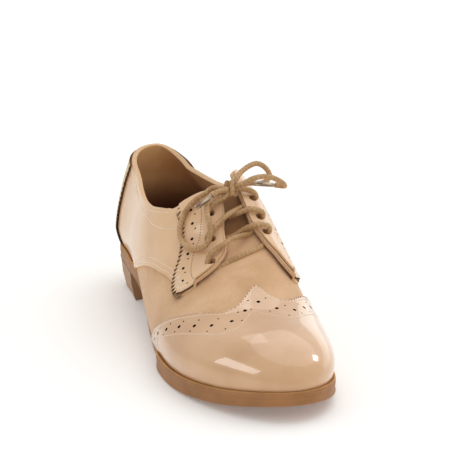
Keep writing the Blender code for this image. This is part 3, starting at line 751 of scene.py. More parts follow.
at, run = along_edge(WINGS, WING, -CAP_REACH, CAP_REACH, "level", "share")
teeth = round(run[-1] / PINK_PITCH)
marks = np.linspace(0, run[-1], teeth * 4 + 1)
levels = np.interp(marks, run, at)
edge = smooth(WINGS, WING, "share", levels)
tooth = pinked(marks, run[-1] / teeth, PINK_DEPTH) / LAST_LENGTH
share, level = toe_grid(levels, edge, CAP_ROWS, CAP_CLOSING)
fade = np.clip(1 - (share - edge[None, :]) * LAST_LENGTH / PINK_FADE, 0, 1)
share = share - tooth[None, :] * fade
# Dark rim of the pinked edges: partly the cut edges' own dark, partly painted shade under and between
# the teeth
DARK_EDGE_AND_SHADE = make_cut_edge("dark_edge_and_shade", tone(70, 42, 18), tone(118, 80, 42))
PATENT_CAP = make_patent("patent_cap", tone(220, 176, 132), tone(206, 160, 116), 1.0)
toe_cap = make_wall("cap_leather", share, level, TRIM_UNDER, TRIM_GAP + TRIM_WALL,
                    (PATENT_CAP, LINING, DARK_EDGE_AND_SHADE), pole=True)

# A dark strip under the teeth that shows between them. It is painted shade for the shadow
# between the teeth, and partly the dark of their cut edges
SHADE_STRIP_TOP = 0.00045
SHADE_STRIP_UNDER = 0.0016
SHADE_STRIP_REACH = 1.05
reach = np.linspace(-PINK_DEPTH * SHADE_STRIP_REACH, SHADE_STRIP_UNDER, 5) / LAST_LENGTH
share = edge[:, None] + reach[None, :]
level = np.repeat(levels[:, None], len(reach), 1)
shade_strip = make_wall("cap_backing", share[8:-8], level[8:-8], 0.0, SHADE_STRIP_TOP,
                    (DARK_EDGE_AND_SHADE, DARK_EDGE_AND_SHADE, DARK_EDGE_AND_SHADE))
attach(shade_strip, "root")

# The band's front seam. Its holes and stitches are each stamped along a line on the leather
CAP_SEAM_ROWS = (
    (-1.000, 0.640),
    (-0.900, 0.665),
    (-0.721, 0.717),
    (-0.606, 0.757),
    (-0.471, 0.813),
    (-0.362, 0.851),
    (-0.267, 0.855),
    (-0.177, 0.835),
    (-0.122, 0.813),
    (-0.057, 0.829),
    (0.022, 0.841),
    (0.142, 0.849),
    (0.287, 0.825),
    (0.400, 0.797),
    (0.560, 0.757),
    (0.720, 0.717),
    (0.900, 0.665),
    (1.000, 0.640),
)
STITCH_LENGTH = 0.00078
STITCH_WIDTH = 0.00062
STITCH_HEIGHT = 0.00042
STITCH_PITCH = 0.00140
CAP_ROW_INSET = 0.0013
CAP_HOLE_PITCH = 0.0101
HOLE_BORE = 0.0019
PIN_BORE = 0.0009
HOLE_START = 0.70
HOLE_ROW = 0.53
PIN_ROWS = (0.26, 0.82)
PUNCH_DEPTH = 0.0032
DISC_SINK = 0.75
DISC_SIZE = (1.25, 1.25, 0.06)
CAP_SEAM_REACH = 0.96


def on_last(share, level, height):
    """Places at a height over the last, and which way is out of the leather there."""
    step = NUDGE
    along = last_point(share + step, level) - last_point(share - step, level)
    across = last_point(share, level + step) - last_point(share, level - step)
    out = np.cross(along, across)
    out /= np.linalg.norm(out, axis=-1, keepdims=True)
    return last_point(share, level) + out * np.broadcast_to(height, np.shape(share))[..., None], out


def spaced(share, level, height, pitch, start=0.5):
    """Marks at an even pitch along a line on the leather: place, out, ahead and size."""
    points, out = on_last(share, level, height)
    run = run_along(points)
    at = np.arange(start * pitch, run[-1], pitch)
    ahead = np.gradient(points, axis=0)
    read = [np.stack([np.interp(at, run, line[:, k]) for k in range(3)], -1)
            for line in (points, out, ahead)]
    return (*read, np.ones(len(at)))


def make_stamp_tree(name, shape, settings):
    """Nodes that stamp a shape on each point, turned by the point's out and ahead."""
    tree = bpy.data.node_groups.new(name, "GeometryNodeTree")
    tree.is_modifier = True
    face = tree.interface
    face.new_socket("Geometry", in_out="INPUT", socket_type="NodeSocketGeometry")
    for size in ("Length", "Width", "Height"):
        face.new_socket(size, in_out="INPUT", socket_type="NodeSocketFloat")
    face.new_socket("Finish", in_out="INPUT", socket_type="NodeSocketMaterial")
    face.new_socket("Geometry", in_out="OUTPUT", socket_type="NodeSocketGeometry")
    nodes, links = tree.nodes, tree.links
    start, end = nodes.new("NodeGroupInput"), nodes.new("NodeGroupOutput")
    stamp = nodes.new(shape)
    for key, value in settings.items():
        stamp.inputs[key].default_value = value
    turn = nodes.new("FunctionNodeAxesToRotation")
    turn.primary_axis, turn.secondary_axis = "Z", "X"
    reads = []
    for attribute, kind in (("out", "FLOAT_VECTOR"), ("ahead", "FLOAT_VECTOR"), ("size", "FLOAT")):
        read = nodes.new("GeometryNodeInputNamedAttribute")
        read.data_type = kind
        read.inputs["Name"].default_value = attribute
        reads.append(read.outputs["Attribute"])
    links.new(reads[0], turn.inputs[0])
    links.new(reads[1], turn.inputs[1])
    size = nodes.new("ShaderNodeCombineXYZ")
    for k, key in enumerate(("Length", "Width", "Height")):
        links.new(start.outputs[key], size.inputs[k])
    grow = nodes.new("ShaderNodeVectorMath")
    grow.operation = "SCALE"
    links.new(size.outputs[0], grow.inputs[0])
    links.new(reads[2], grow.inputs["Scale"])
    place = nodes.new("GeometryNodeInstanceOnPoints")
    links.new(start.outputs["Geometry"], place.inputs["Points"])
    links.new(stamp.outputs["Mesh"], place.inputs["Instance"])
    links.new(turn.outputs[0], place.inputs["Rotation"])
    links.new(grow.outputs[0], place.inputs["Scale"])
    real = nodes.new("GeometryNodeRealizeInstances")
    links.new(place.outputs[0], real.inputs[0])
    finish = nodes.new("GeometryNodeSetMaterial")
    links.new(real.outputs[0], finish.inputs["Geometry"])
    links.new(start.outputs["Finish"], finish.inputs["Material"])
    links.new(finish.outputs[0], end.inputs[0])
    return tree


def make_stamps(name, tree, marks, sizes, finish):
    """One plain mesh of the tree's shape, stamped at sizes (length, width, height)."""
    place, out, ahead, size = [np.concatenate(group) for group in zip(*marks)]
    mesh = bpy.data.meshes.new(name)
    mesh.from_pydata(place.tolist(), [], [])
    for key, kind, values in (("out", "FLOAT_VECTOR", out), ("ahead", "FLOAT_VECTOR", ahead),
                              ("size", "FLOAT", size)):
        layer = mesh.attributes.new(key, kind, "POINT")
        layer.data.foreach_set("value" if kind == "FLOAT" else "vector",
                               np.asarray(values, np.float32).ravel())
    piece = bpy.data.objects.new(name, mesh)
    bpy.context.scene.collection.objects.link(piece)
    change = piece.modifiers.new("stamps", "NODES")
    change.node_group = tree
    values = dict(zip(("Length", "Width", "Height"), sizes), Finish=finish)
    for item in tree.interface.items_tree:
        if item.in_out == "INPUT" and item.name in values:
            change[item.identifier] = values[item.name]
    plain(piece)
    for key in ("out", "ahead", "size"):
        layer = piece.data.attributes.get(key)
        if layer:
            piece.data.attributes.remove(layer)
    piece.data.shade_smooth()
    return piece


def punch(piece, name, marks):
    """Cuts round holes at the marks with dark walls, and lays a dark disc under each: painted shade in
    the holes.
    """
    tool = make_stamps(name + "_punch", PUNCH, marks, (1, 1, PUNCH_DEPTH / HOLE_BORE), HOLE_SHADE)
    cut(piece, tool)
    bpy.data.objects.remove(tool)
    lowered = [(place - out * (TRIM_WALL * DISC_SINK), out, ahead, size)
               for place, out, ahead, size in marks]
    discs = make_stamps(name + "_holes", PUNCH, lowered, DISC_SIZE, HOLE_SHADE)
    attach(discs, "root")


def sewn(name, marks):
    """Thread stitches at the marks."""
    sizes = (STITCH_LENGTH, STITCH_WIDTH, STITCH_HEIGHT)
    piece = make_stamps(name, BEAD, marks, sizes, THREAD)
    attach(piece, "root")


def make_thread():
    paint = Paint("thread")
    fibre = paint.noise(3000, 2, 0.6)
    base = paint.mix(fibre.step(0.3, 0.7), tone(244, 224, 196), tone(255, 244, 224))
    return paint.finish(Base_Color=base, Roughness=0.6)


# Painted shade: the dark that fills the punched holes and colours their walls
def make_hole_shade():
    paint = Paint("hole_shade")
    speck = paint.noise(2500, 2, 0.6)
    base = paint.mix(speck, tone(34, 16, 4), tone(62, 34, 14))
    return paint.finish(Base_Color=base, Roughness=0.9, Specular_IOR_Level=0.1)


THREAD = make_thread()
HOLE_SHADE = make_hole_shade()
BEAD = make_stamp_tree("bead", "GeometryNodeMeshUVSphere", {"Segments": 8, "Rings": 5, "Radius": 0.5})
PUNCH = make_stamp_tree("punch", "GeometryNodeMeshCylinder", {"Vertices": 14, "Radius": 0.5,
                                                              "Depth": 1.0})
cap_top = TRIM_GAP + TRIM_WALL
at = np.linspace(-CAP_SEAM_REACH, CAP_SEAM_REACH, 1200)
edge_line = smooth(WINGS, WING, "share", at)
seam_line = smooth(CAP_SEAM_ROWS, WING, "share", at)
row = edge_line + CAP_ROW_INSET / LAST_LENGTH
sewn("cap_stitches", [spaced(row, at, cap_top, STITCH_PITCH),
                      spaced(seam_line, at, cap_top, STITCH_PITCH)])
holes = []
for down, start, bore in ((HOLE_ROW, HOLE_START, HOLE_BORE),
                          (PIN_ROWS[0], HOLE_START + 0.5, PIN_BORE),
                          (PIN_ROWS[1], HOLE_START + 0.5, PIN_BORE)):
    middle = edge_line + (seam_line - edge_line) * HOLE_ROW
    line = edge_line + (seam_line - edge_line) * down
    points, out = on_last(middle, at, cap_top)
    run = run_along(points)
    marks = np.arange((start % 1) * CAP_HOLE_PITCH, run[-1], CAP_HOLE_PITCH)
    level = np.interp(marks, run, at)
    share = np.interp(level, at, line)
    place, out = on_last(share, level, cap_top)
    ahead = np.roll(place, -1, 0) - place
    ahead[-1] = ahead[-2]
    holes.append((place, out, ahead, np.full(len(place), bore)))
punch(toe_cap, "cap", holes)

# Where the pinked edge has frayed pale, on the outer side and beside the point
FRAY_SIZE = (0.0011, 0.0006, 0.0005)
FRAY_INSIDE = 0.0004
FRAY_SEED = 11
TEAR_SEED = 7

# A small step of share, for reading which way a flake points
FLAKE_NUDGE = 1e-3
FRAYS = ("level", "to_level", "count")
CAP_FRAYS = (
    (-0.450, -0.350, 30),
    (-0.235, -0.130, 40),
    (0.180, 0.330, 10),
)


def frayed(name, marks, sizes):
    """Pale torn flakes at the marks, of uneven size."""
    place, out, ahead, size = marks
    rng = np.random.default_rng(TEAR_SEED)
    ahead = ahead + rng.normal(0, 0.6, ahead.shape) * np.linalg.norm(ahead, axis=1, keepdims=True)
    size = size * rng.uniform(0.45, 1.25, len(size))
    piece = make_stamps(name, BEAD, [(place, out, ahead, size)], sizes, FRAYED)
    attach(piece, "root")


def make_frayed():
    paint = Paint("frayed")
    fibre = paint.noise(2400, 3, 0.6)
    base = paint.mix(fibre.step(0.3, 0.7), tone(222, 196, 162), tone(255, 246, 232))
    return paint.finish(Base_Color=base, Roughness=0.8)


FRAYED = make_frayed()
rng = np.random.default_rng(FRAY_SEED)
spans = zip(*[column(CAP_FRAYS, FRAYS, name) for name in FRAYS])
level = np.concatenate([rng.uniform(first, last, int(count)) for first, last, count in spans])
share = np.interp(level, at, edge_line) - rng.uniform(-FRAY_INSIDE, PINK_DEPTH, len(level)) / LAST_LENGTH
place, out = on_last(share, level, SHADE_STRIP_TOP)
ahead = on_last(share + FLAKE_NUDGE, level, SHADE_STRIP_TOP)[0] - place
frayed("cap_frays", (place, out, ahead, np.ones(len(level))), FRAY_SIZE)
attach(toe_cap, "root")
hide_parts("toe_cap")

# The facings
# Patent overlays on the flaps that carry the eyelets: gimped back edges, a row of holes and
# rows of fine stitches.
FACING_INSET = 0.010
FACING = ("share", "lower")
FACING_OUTER = (
    (0.482, 0.326),
    (0.523, 0.332),
    (0.555, 0.357),
    (0.582, 0.396),
    (0.601, 0.440),
    (0.622, 0.470),
    (0.645, 0.482),
    (0.662, 0.474),
    (0.669, 0.450),
    (0.673, 0.412),
)
FACING_INNER = (
    (0.445, 0.300),
    (0.500, 0.335),
    (0.540, 0.365),
    (0.575, 0.410),
    (0.601, 0.445),
    (0.620, 0.465),
    (0.650, 0.445),
    (0.668, 0.415),
    (0.680, 0.380),
)
GIMP_PITCH = 0.0027
GIMP_DEPTH = 0.0019
FACING_HOLE_PITCH = 0.0088
TOOTH_SHARE = 0.07
FACING_ROW_START = 0.020
FACING_ROW_END = 0.012

# The rows along a facing's back edge: holes, pinholes between them, and stitch holes
FACING_ROW = ("inset", "start", "pitch", "bore")
FACING_ROWS = (
    (0.0026, 0.50, FACING_HOLE_PITCH, HOLE_BORE * 0.9),
    (0.0036, 0.00, FACING_HOLE_PITCH, PIN_BORE),
    (0.0056, 0.30, 0.0015, 0.0006),
)
TOOTH_SPREAD = 1.3
FACING_COLUMNS = 26


def flap_top(share, level, side):
    """Height of the quarter's outer face over the last."""
    lift = flap_lift(share, level, side)
    return QUARTER_STEP + FLAP_LIFT * lift + creased(FLAP_CREASES, share, level)


def lighten_rim(piece, line, finish):
    """Gives the rim that lies away from a line the finish of a plain cut edge."""
    mesh = piece.data
    mesh.materials.append(finish)
    index = len(mesh.materials) - 1
    for face in mesh.polygons:
        if face.material_index == 2:
            away = np.linalg.norm(line - np.array(face.center), axis=1).min()
            if away > GIMP_DEPTH * TOOTH_SPREAD:
                face.material_index = index


def make_facing(name, side, rows):
    ends = column(rows, FACING, "share")[[0, -1]]
    at = np.linspace(ends[0], ends[1], 3000)
    lower = smooth(rows, FACING, "lower", at)
    points = last_point(at, side * lower)
    run = run_along(points)
    teeth = round(run[-1] / GIMP_PITCH)
    marks = np.linspace(0, run[-1], teeth * 4 + 1)
    shares = np.interp(marks, run, at)
    lower = smooth(rows, FACING, "lower", shares)
    upper = quarter_edge("upper", shares, side) + FACING_INSET
    fade = ease(0.0, 0.010, shares - ends[0]) * ease(0.0, 0.030, ends[1] - shares)
    tooth = pinked(marks, run[-1] / teeth, GIMP_DEPTH) * fade / GIRTH_SCALE
    across = np.concatenate([[0, TOOTH_SHARE], np.linspace(TOOTH_SHARE, 1, FACING_COLUMNS)[1:]])
    share = np.repeat(shares[:, None], len(across), 1)
    level = side * (lower[:, None] + (upper - lower)[:, None] * across[None, :])
    only_first = np.clip(1 - across[None, :] / TOOTH_SHARE, 0, 1)
    level = level + side * (tooth[:, None] * only_first)
    outside = flap_top(share, level, side)
    piece = make_wall(name + "_leather", share, level, outside + TRIM_UNDER,
                      outside + TRIM_GAP + TRIM_WALL, (PATENT, LINING, DARK_EDGE_AND_SHADE))
    line = on_last(shares, side * lower, outside[:, 0] + TRIM_GAP)[0]
    lighten_rim(piece, line, CUT_EDGE)
    cut(piece, eyelets)

    # The dark strip between the teeth: painted shade for the shadow there, and partly the dark of the
    # cut edges
    reach = np.linspace(GIMP_DEPTH * SHADE_STRIP_REACH, -SHADE_STRIP_UNDER, 5) / GIRTH_SCALE
    share = np.repeat(shares[4:-4, None], len(reach), 1)
    level = side * (lower[4:-4, None] + reach[None, :])
    outside = flap_top(share, level, side)
    shade_strip = make_wall(name + "_backing", share, level, outside,
                        outside + SHADE_STRIP_TOP, (SHADE_STRIP, SHADE_STRIP, SHADE_STRIP))
    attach(shade_strip, "root")

    # Holes, pinholes and stitches along the back edge
    marks = []
    for inset, start, pitch, bore in zip(*[column(FACING_ROWS, FACING_ROW, key) for key in FACING_ROW]):
        line = np.linspace(ends[0] + FACING_ROW_START, ends[1] - FACING_ROW_END, 900)
        level = side * (smooth(rows, FACING, "lower", line) - inset / GIRTH_SCALE)
        top = flap_top(line, level, side) + TRIM_GAP + TRIM_WALL
        place, out, ahead, size = spaced(line, level, top, pitch, start)
        marks.append((place, out, ahead, size * bore))
    punch(piece, name, marks)
    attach(piece, "root")
    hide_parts(name)


# Painted shade: the dark strip between a facing's teeth, partly the dark of their cut edges
SHADE_STRIP = make_cut_edge("facing_backing", tone(120, 88, 54), tone(150, 116, 78))
make_facing("facing_outer", OUTER, FACING_OUTER)
make_facing("facing_inner", INNER, FACING_INNER)
bpy.data.objects.remove(eyelets)

# Rows of stitches: under the collar, in a curve down the quarter, twice along the seam that
# holds the quarter down, and along the flap's front edge
COLLAR_SEAM_START = 0.095
COLLAR_SEAM_DROP = 0.024
FOOT_SEAM = (0.300, 0.610)
FOOT_SEAM_DROPS = (0.018, 0.044)
INNER_SEAM_RISE = 0.035
SEAM = ("share", "level")
CURVED_SEAM = (
    (0.130, 0.487),
    (0.200, 0.500),
    (0.330, 0.520),
    (0.435, 0.505),
    (0.475, 0.470),
    (0.495, 0.442),
    (0.512, 0.405),
    (0.524, 0.372),
)
FLAP_SEAM = (
    (0.650, 0.470),
    (0.660, 0.440),
    (0.664, 0.400),
    (0.664, 0.360),
)


def along_rows(rows, count=500):
    """A smooth run of share and level through a short table."""
    at = np.linspace(0, 1, len(rows))
    fine = np.linspace(0, 1, count)
    pairs = tuple((a, *row) for a, row in zip(at, rows))
    return [smooth(pairs, ("at", *SEAM), name, fine) for name in SEAM]


marks = []
for side, reach in ((OUTER, 0.470), (INNER, 0.436)):
    share = np.linspace(COLLAR_SEAM_START, reach, 700)
    level = quarter_edge("upper", share, side) + COLLAR_SEAM_DROP
    marks.append(spaced(share, side * level, QUARTER_STEP, STITCH_PITCH))
    share = np.linspace(*FOOT_SEAM, 600)
    for drop in FOOT_SEAM_DROPS:
        level = quarter_edge("lower", share, side) - drop
        marks.append(spaced(share, side * level, flap_top(share, side * level, side), STITCH_PITCH))
    share, level = along_rows(CURVED_SEAM)
    if side == INNER:
        level = level - INNER_SEAM_RISE
    marks.append(spaced(share, side * level, flap_top(share, side * level, side), STITCH_PITCH))
share, level = along_rows(FLAP_SEAM)
for side in (OUTER, INNER):
    top = flap_top(share, side * level, side) + TRIM_GAP + TRIM_WALL
    marks.append(spaced(share, side * level, top, STITCH_PITCH))
sewn("quarter_stitches", marks)

# Pale flakes where the patent has cracked off round the outer facing's lower tip
FLAKE_COUNT = 90
FLAKE_SHARES = (0.590, 0.664)
FLAKE_LEVEL = 0.462
FLAKE_SPREAD = 0.014
FLAKE_MARGIN = 0.004
FLAKE_SIZE = (0.0009, 0.0005, 0.00025)
FLAKE_SEED = 23
rng = np.random.default_rng(FLAKE_SEED)
share = rng.uniform(*FLAKE_SHARES, FLAKE_COUNT)
level = rng.normal(FLAKE_LEVEL, FLAKE_SPREAD, FLAKE_COUNT)
on_facing = level < smooth(FACING_OUTER, FACING, "lower", share)
top = flap_top(share, -level, OUTER) + np.where(on_facing, TRIM_GAP + TRIM_WALL, 0)
inside = level < quarter_edge("lower", share, OUTER) - FLAKE_MARGIN
place, out = on_last(share[inside], -level[inside], top[inside])
ahead = on_last(share[inside] + FLAKE_NUDGE, -level[inside], top[inside])[0] - place
frayed("facing_frays", (place, out, ahead, np.ones(len(place))), FLAKE_SIZE)

# The heel counter
# A strip of grained leather, cream with a dull gold cast, wrapped round the heel's back. Its
# pinked front edges have a dark rim, partly their own dark and partly painted shade under them.
COUNTER_REACH = 0.024
COUNTER_TOP = 0.012
COUNTER_FOOT = 0.965
COUNTER_EXTRA = 0.001
COUNTER_TEETH = 24
COUNTER_TOOTH = 0.0012
COUNTER_FADE = 0.0016


def make_grained():
    paint = Paint("grained_leather")
    cell = paint.cells(1100)
    patch = paint.noise(160, 3, 0.6)
    base = paint.mix(cell.step(0.05, 0.5), tone(176, 146, 98), tone(228, 208, 166))
    base = paint.mix(patch.step(0.3, 0.7) * 0.4, base, tone(206, 178, 120))
    return paint.finish(Base_Color=base, Roughness=0.5, Metallic=0.15,
                        Normal=paint.bump(cell, 0.0002, 0.7))


GRAINED = make_grained()
reach = (COUNTER_REACH + COUNTER_EXTRA) / LAST_LENGTH
stations = heel_stations(40, reach)
shares, sides = round_heel(stations, stations)
across = np.linspace(0, 1, COUNTER_TEETH * 4 + 1)
top = np.where(sides == OUTER, quarter_edge("upper", shares, OUTER),
               quarter_edge("upper", shares, INNER)) + COUNTER_TOP
level = sides[:, None] * (COUNTER_FOOT + (top - COUNTER_FOOT)[:, None] * across[None, :])
share = np.repeat(shares[:, None], len(across), 1)
tooth = pinked(across, 1 / COUNTER_TEETH, COUNTER_TOOTH) / LAST_LENGTH
fade = np.clip(1 - (reach - share) / (COUNTER_FADE / LAST_LENGTH), 0, 1)
share = share - tooth[None, :] * fade
counter = make_wall("counter_leather", share, level, QUARTER_STEP + TRIM_UNDER,
                    QUARTER_STEP + TRIM_GAP + TRIM_WALL, (GRAINED, LINING, DARK_EDGE_AND_SHADE))
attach(counter, "root")
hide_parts("heel_counter")

# The tongue
# Suede like the vamp's, sewn to its back edge and lying under the flaps and the lace.
TONGUE_TOP = 0.490
TONGUE_WAIST = 0.58
TONGUE_ROOT = 0.655
TONGUE_OUTER = 0.34
TONGUE_INNER = 0.31
TONGUE_NARROW = 0.25
TONGUE_WALL = 0.0018
SEAT_GAP = 0.0003
# Painted shade: the tongue's suede is a darker copy of the vamp's, for the shade in the throat
TONGUE_SHADED_SUEDE = make_suede("tongue_shaded_suede", tone(158, 114, 74), tone(184, 140, 98),
                          tone(132, 90, 54))
tongue_drop = max(VAMP_WALL, QUARTER_WALL - QUARTER_STEP) + SEAT_GAP
shares = np.linspace(TONGUE_TOP, TONGUE_ROOT, 50)
across = np.linspace(-1, 1, 60)
share = np.repeat(shares[:, None], len(across), 1)
narrow = 1 - TONGUE_NARROW * ease(TONGUE_WAIST, TONGUE_ROOT, share)
level = across * np.where(across < 0, TONGUE_OUTER, TONGUE_INNER) * narrow
tongue = make_wall("tongue_shaded_suede", share, level, -tongue_drop - TONGUE_WALL, -tongue_drop,
                   (TONGUE_SHADED_SUEDE, LINING, CUT_EDGE))
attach(tongue, "root")
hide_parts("tongue")

# The insole
# A soft sock over the foot bed, its edge rounded where it meets the upper's lining.
WELT_THICKNESS = 0.0025
WELT_INSIDE = 0.0024
INSOLE_RISE = 0.0020
TOE_STATION = 0.80

# The sock's rounded edge: how far in from its rim, and how much of its rise it has there
SOCK_EDGE = ("inward", "rise")
SOCK_EDGES = (
    (0.0030, 1.0),
    (0.0010, 0.9),
    (0.0000, 0.5),
)


def sole_stations(heel, middle, toe):
    shares = [heel_stations(heel), np.linspace(HEEL_ROUND, TOE_STATION, middle)[1:],
              TOE_STATION + (1 - TOE_STATION) * np.sin(np.linspace(0, np.pi / 2, toe)[1:])]
    return np.concatenate(shares)


def feather_loop(shares, grow):
    """The feather edge seen from above, grown outwards: outer side, tip, inner side."""
    outer = last_point(shares, -1.0)
    inner = last_point(shares[-2:0:-1], 1.0)
    loop = np.concatenate([outer, inner])[:, :2]
    ahead = np.roll(loop, -1, 0) - np.roll(loop, 1, 0)
    out = np.stack([ahead[:, 1], -ahead[:, 0]], -1)
    out /= np.linalg.norm(out, axis=1, keepdims=True)
    if np.sum(out * (loop - loop.mean(0))) < 0:
        out = -out
    return loop + out * np.broadcast_to(grow, len(loop))[:, None]


def loop_heights(shares, height):
    return np.concatenate([height(shares), height(shares[-2:0:-1])])


def ladder(count, stations, first, up):
    """Faces across a loop, from the back point over pairs of side points to the tip."""
    faces = [(first, first + 1, first + count - 1)]
    for k in range(1, stations - 2):
        faces.append((first + k, first + k + 1, first + count - k - 1, first + count - k))
    tip = stations - 1
    faces.append((first + tip - 1, first + tip, first + tip + 1))
    return faces if up else [tuple(reversed(face)) for face in faces]


def ring_faces(loops):
    """Faces between closed loops of equal length, each loop to the next."""
    count = len(loops[0])
    faces = []
    for ring in range(len(loops) - 1):
        for k in range(count):
            a, b = ring * count + k, ring * count + (k + 1) % count
            faces.append((a, b, b + count, a + count))
    return faces


def make_rings(shares, sides):
    """Loops of the feather edge at (growth, height), and the faces between them."""
    loops = []
    for grow, height in sides:
        plan = feather_loop(shares, grow)
        loops.append(np.column_stack([plan, loop_heights(shares, height)]))
    return loops, ring_faces(loops)


def make_slab(name, shares, sides, finish):
    """A plate through rings of (growth, height function), from the top one down."""
    loops, faces = make_rings(shares, sides)
    count = len(loops[0])
    faces += ladder(count, len(shares), 0, True)
    faces += ladder(count, len(shares), (len(loops) - 1) * count, False)
    return make_piece(name, np.concatenate(loops), faces, (finish,))


def welt_top(share):
    return feather_height(share) - SEAT_GAP


def welt_under(share):
    return welt_top(share) - WELT_THICKNESS


def outsole_top(share):
    return welt_under(share) - SEAT_GAP


shares = sole_stations(30, 120, 50)
inset = -(WELT_INSIDE + SEAT_GAP)
sides = []
for inward, rise in zip(*[column(SOCK_EDGES, SOCK_EDGE, name) for name in SOCK_EDGE]):
    sides.append((inset - inward, lambda s, up=INSOLE_RISE * rise: feather_height(s) + up))
sides.append((inset, lambda s: outsole_top(s) + SEAT_GAP))
insole = make_slab("insole_sock", shares, sides, LINING)
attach(insole, "root")
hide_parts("insole")

# The welt
# The moulded rubber ledge that the upper stands on, with a bead of ribs along it like stitches.
# At the waist, between the heel and the ball, it draws in under the upper.
WELT_LEDGE = 0.0030
WELT_RIM = 0.00075
WAIST_SHELF = 0.0014
WAIST_START = 0.20
WAIST_FULL = 0.36
WAIST_LEAVE = 0.58
WAIST_END = 0.68


def ledge(shares):
    """How far the sole stands out round the upper. At the waist it draws in under it."""
    around = np.concatenate([shares, shares[-2:0:-1]])
    waist = ease(WAIST_START, WAIST_FULL, around) * (1 - ease(WAIST_LEAVE, WAIST_END, around))
    return WELT_LEDGE - (WELT_LEDGE + WELT_INSIDE - WAIST_SHELF) * waist


def make_rubber(name, light, dark):
    paint = Paint(name)
    cloud = paint.noise(60, 3, 0.6)
    speck = paint.noise(1500, 3, 0.6)
    base = paint.mix(cloud.step(0.3, 0.7), dark, light)
    rough = 0.42 + speck * 0.2
    return paint.finish(Base_Color=base, Roughness=rough, Normal=paint.bump(speck, 0.00005, 0.4))


RUBBER = make_rubber("sole_rubber", tone(168, 114, 62), tone(150, 100, 50))
edge = ledge(shares)
loops, faces = make_rings(shares, (
    (-WELT_INSIDE, welt_top),
    (edge - WELT_RIM, welt_top),
    (edge - WELT_RIM * 0.3, lambda s: welt_top(s) - WELT_RIM * 0.3),
    (edge, lambda s: welt_top(s) - WELT_RIM),
    (edge, welt_under),
    (-WELT_INSIDE, welt_under),
))
count = len(loops[0])
last_ring = (len(loops) - 1) * count
for k in range(count):
    after = (k + 1) % count
    faces.append((last_ring + k, last_ring + after, after, k))
welt = make_piece("welt_ledge", np.concatenate(loops), faces, (RUBBER,))
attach(welt, "root")
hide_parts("welt")

# A bead of fine ribs along the ledge's outer rim
RIB_INSET = 0.55
RIB_PITCH = 0.00105
RIB_SIZE = (0.00066, 0.00130, 0.00110)
RIB_RUBBER = make_rubber("rib_rubber", tone(220, 168, 106), tone(196, 142, 82))
line = np.column_stack([feather_loop(shares, edge - RIB_SIZE[1] * RIB_INSET),
                        loop_heights(shares, welt_top)])
line = np.concatenate([line, line[:1]])
run = run_along(line)
at = np.linspace(0, run[-1], round(run[-1] / RIB_PITCH), endpoint=False)
place = np.stack([np.interp(at, run, line[:, k]) for k in range(3)], -1)
ahead = np.roll(place, -1, 0) - np.roll(place, 1, 0)
upward = np.cross(ahead, np.cross((0, 0, 1), ahead))
ribs = make_stamps("welt_ribs", BEAD, [(place, upward, ahead, np.ones(len(at)))], RIB_SIZE,
                   RIB_RUBBER)
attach(ribs, "root")

# The outsole
# One moulded slab under the welt, with a low arch, a sprung toe and a rounded lower edge.
OUTSOLE_THICKNESS = 0.0046
OUTSOLE_ROUND = 0.0012

# The sole's underside: rise is a share of the heel seat's height, spring of the toe spring
UNDERSIDE = ("share", "rise", "spring")
UNDERSIDES = (
    (0.00, 1.00, 0.00),
    (0.24, 1.00, 0.00),
    (0.32, 0.78, 0.00),
    (0.42, 0.37, 0.00),
    (0.52, 0.11, 0.00),
    (0.60, 0.00, 0.00),
    (0.74, 0.00, 0.00),
    (0.84, 0.00, 0.19),
    (0.92, 0.00, 0.49),
    (1.00, 0.00, 1.00),
)


def outsole_under(share):
    seat = HEEL_HEIGHT - WELT_THICKNESS - OUTSOLE_THICKNESS - 2 * SEAT_GAP
    rise = smooth(UNDERSIDES, UNDERSIDE, "rise", share) * seat
    return rise + smooth(UNDERSIDES, UNDERSIDE, "spring", share) * TOE_SPRING


outsole = make_slab("outsole_slab", shares, (
    (edge - 0.0010, outsole_top),
    (edge - 0.0010, lambda s: outsole_top(s) + SEAT_GAP * 0.8),
    (edge - 0.00002, lambda s: outsole_top(s) + SEAT_GAP * 0.8),
    (edge - 0.0003, lambda s: (outsole_top(s) + outsole_under(s)) / 2),
    (edge, lambda s: outsole_under(s) + OUTSOLE_ROUND),
    (edge - OUTSOLE_ROUND * 0.15, lambda s: outsole_under(s) + OUTSOLE_ROUND * 0.5),
    (edge - OUTSOLE_ROUND * 0.45, lambda s: outsole_under(s) + OUTSOLE_ROUND * 0.15),
    (edge - OUTSOLE_ROUND, outsole_under),
), RUBBER)
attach(outsole, "root")
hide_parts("outsole")

# The heel
# A low rubber block under the heel seat, its sides drawn in a little towards the floor and
# its breast hollowed.
OUTSOLE_STEP = 0.0004
HEEL_LENGTH = 0.055
HEEL_TAPER = 0.0028
BREAST_HOLLOW = 0.0040
HEEL_RUBBER = make_rubber("heel_rubber", tone(176, 136, 98), tone(160, 120, 84))
breast = HEEL_LENGTH / LAST_LENGTH
heel_shares = np.append(shares[shares < breast - 1e-4], breast)
near = len(heel_shares)
whole = np.concatenate([heel_shares, shares[shares > breast + 1e-4]])
top = outsole_under(0.0) - SEAT_GAP
loops = []
for grow, height in ((0.0, top), (-HEEL_TAPER * 0.25, top * 0.55), (-HEEL_TAPER * 0.9, 0.0006),
                     (-HEEL_TAPER - 0.0004, 0.0)):
    plan = feather_loop(whole, ledge(whole) - OUTSOLE_STEP + grow)
    outer = plan[:near]
    inner = plan[len(plan) - near + 1:]
    front = outer[-1, 1] - grow * 0.3
    across = np.linspace(0, 1, 33)[1:-1]
    arc = np.column_stack([outer[-1, 0] + (inner[0, 0] - outer[-1, 0]) * across,
                           front + BREAST_HOLLOW * (1 - (2 * across - 1) ** 2)])
    outer[-1, 1] = front
    inner[0, 1] = front
    plan = np.concatenate([outer, arc, inner])
    loops.append(np.column_stack([plan, np.full(len(plan), height)]))
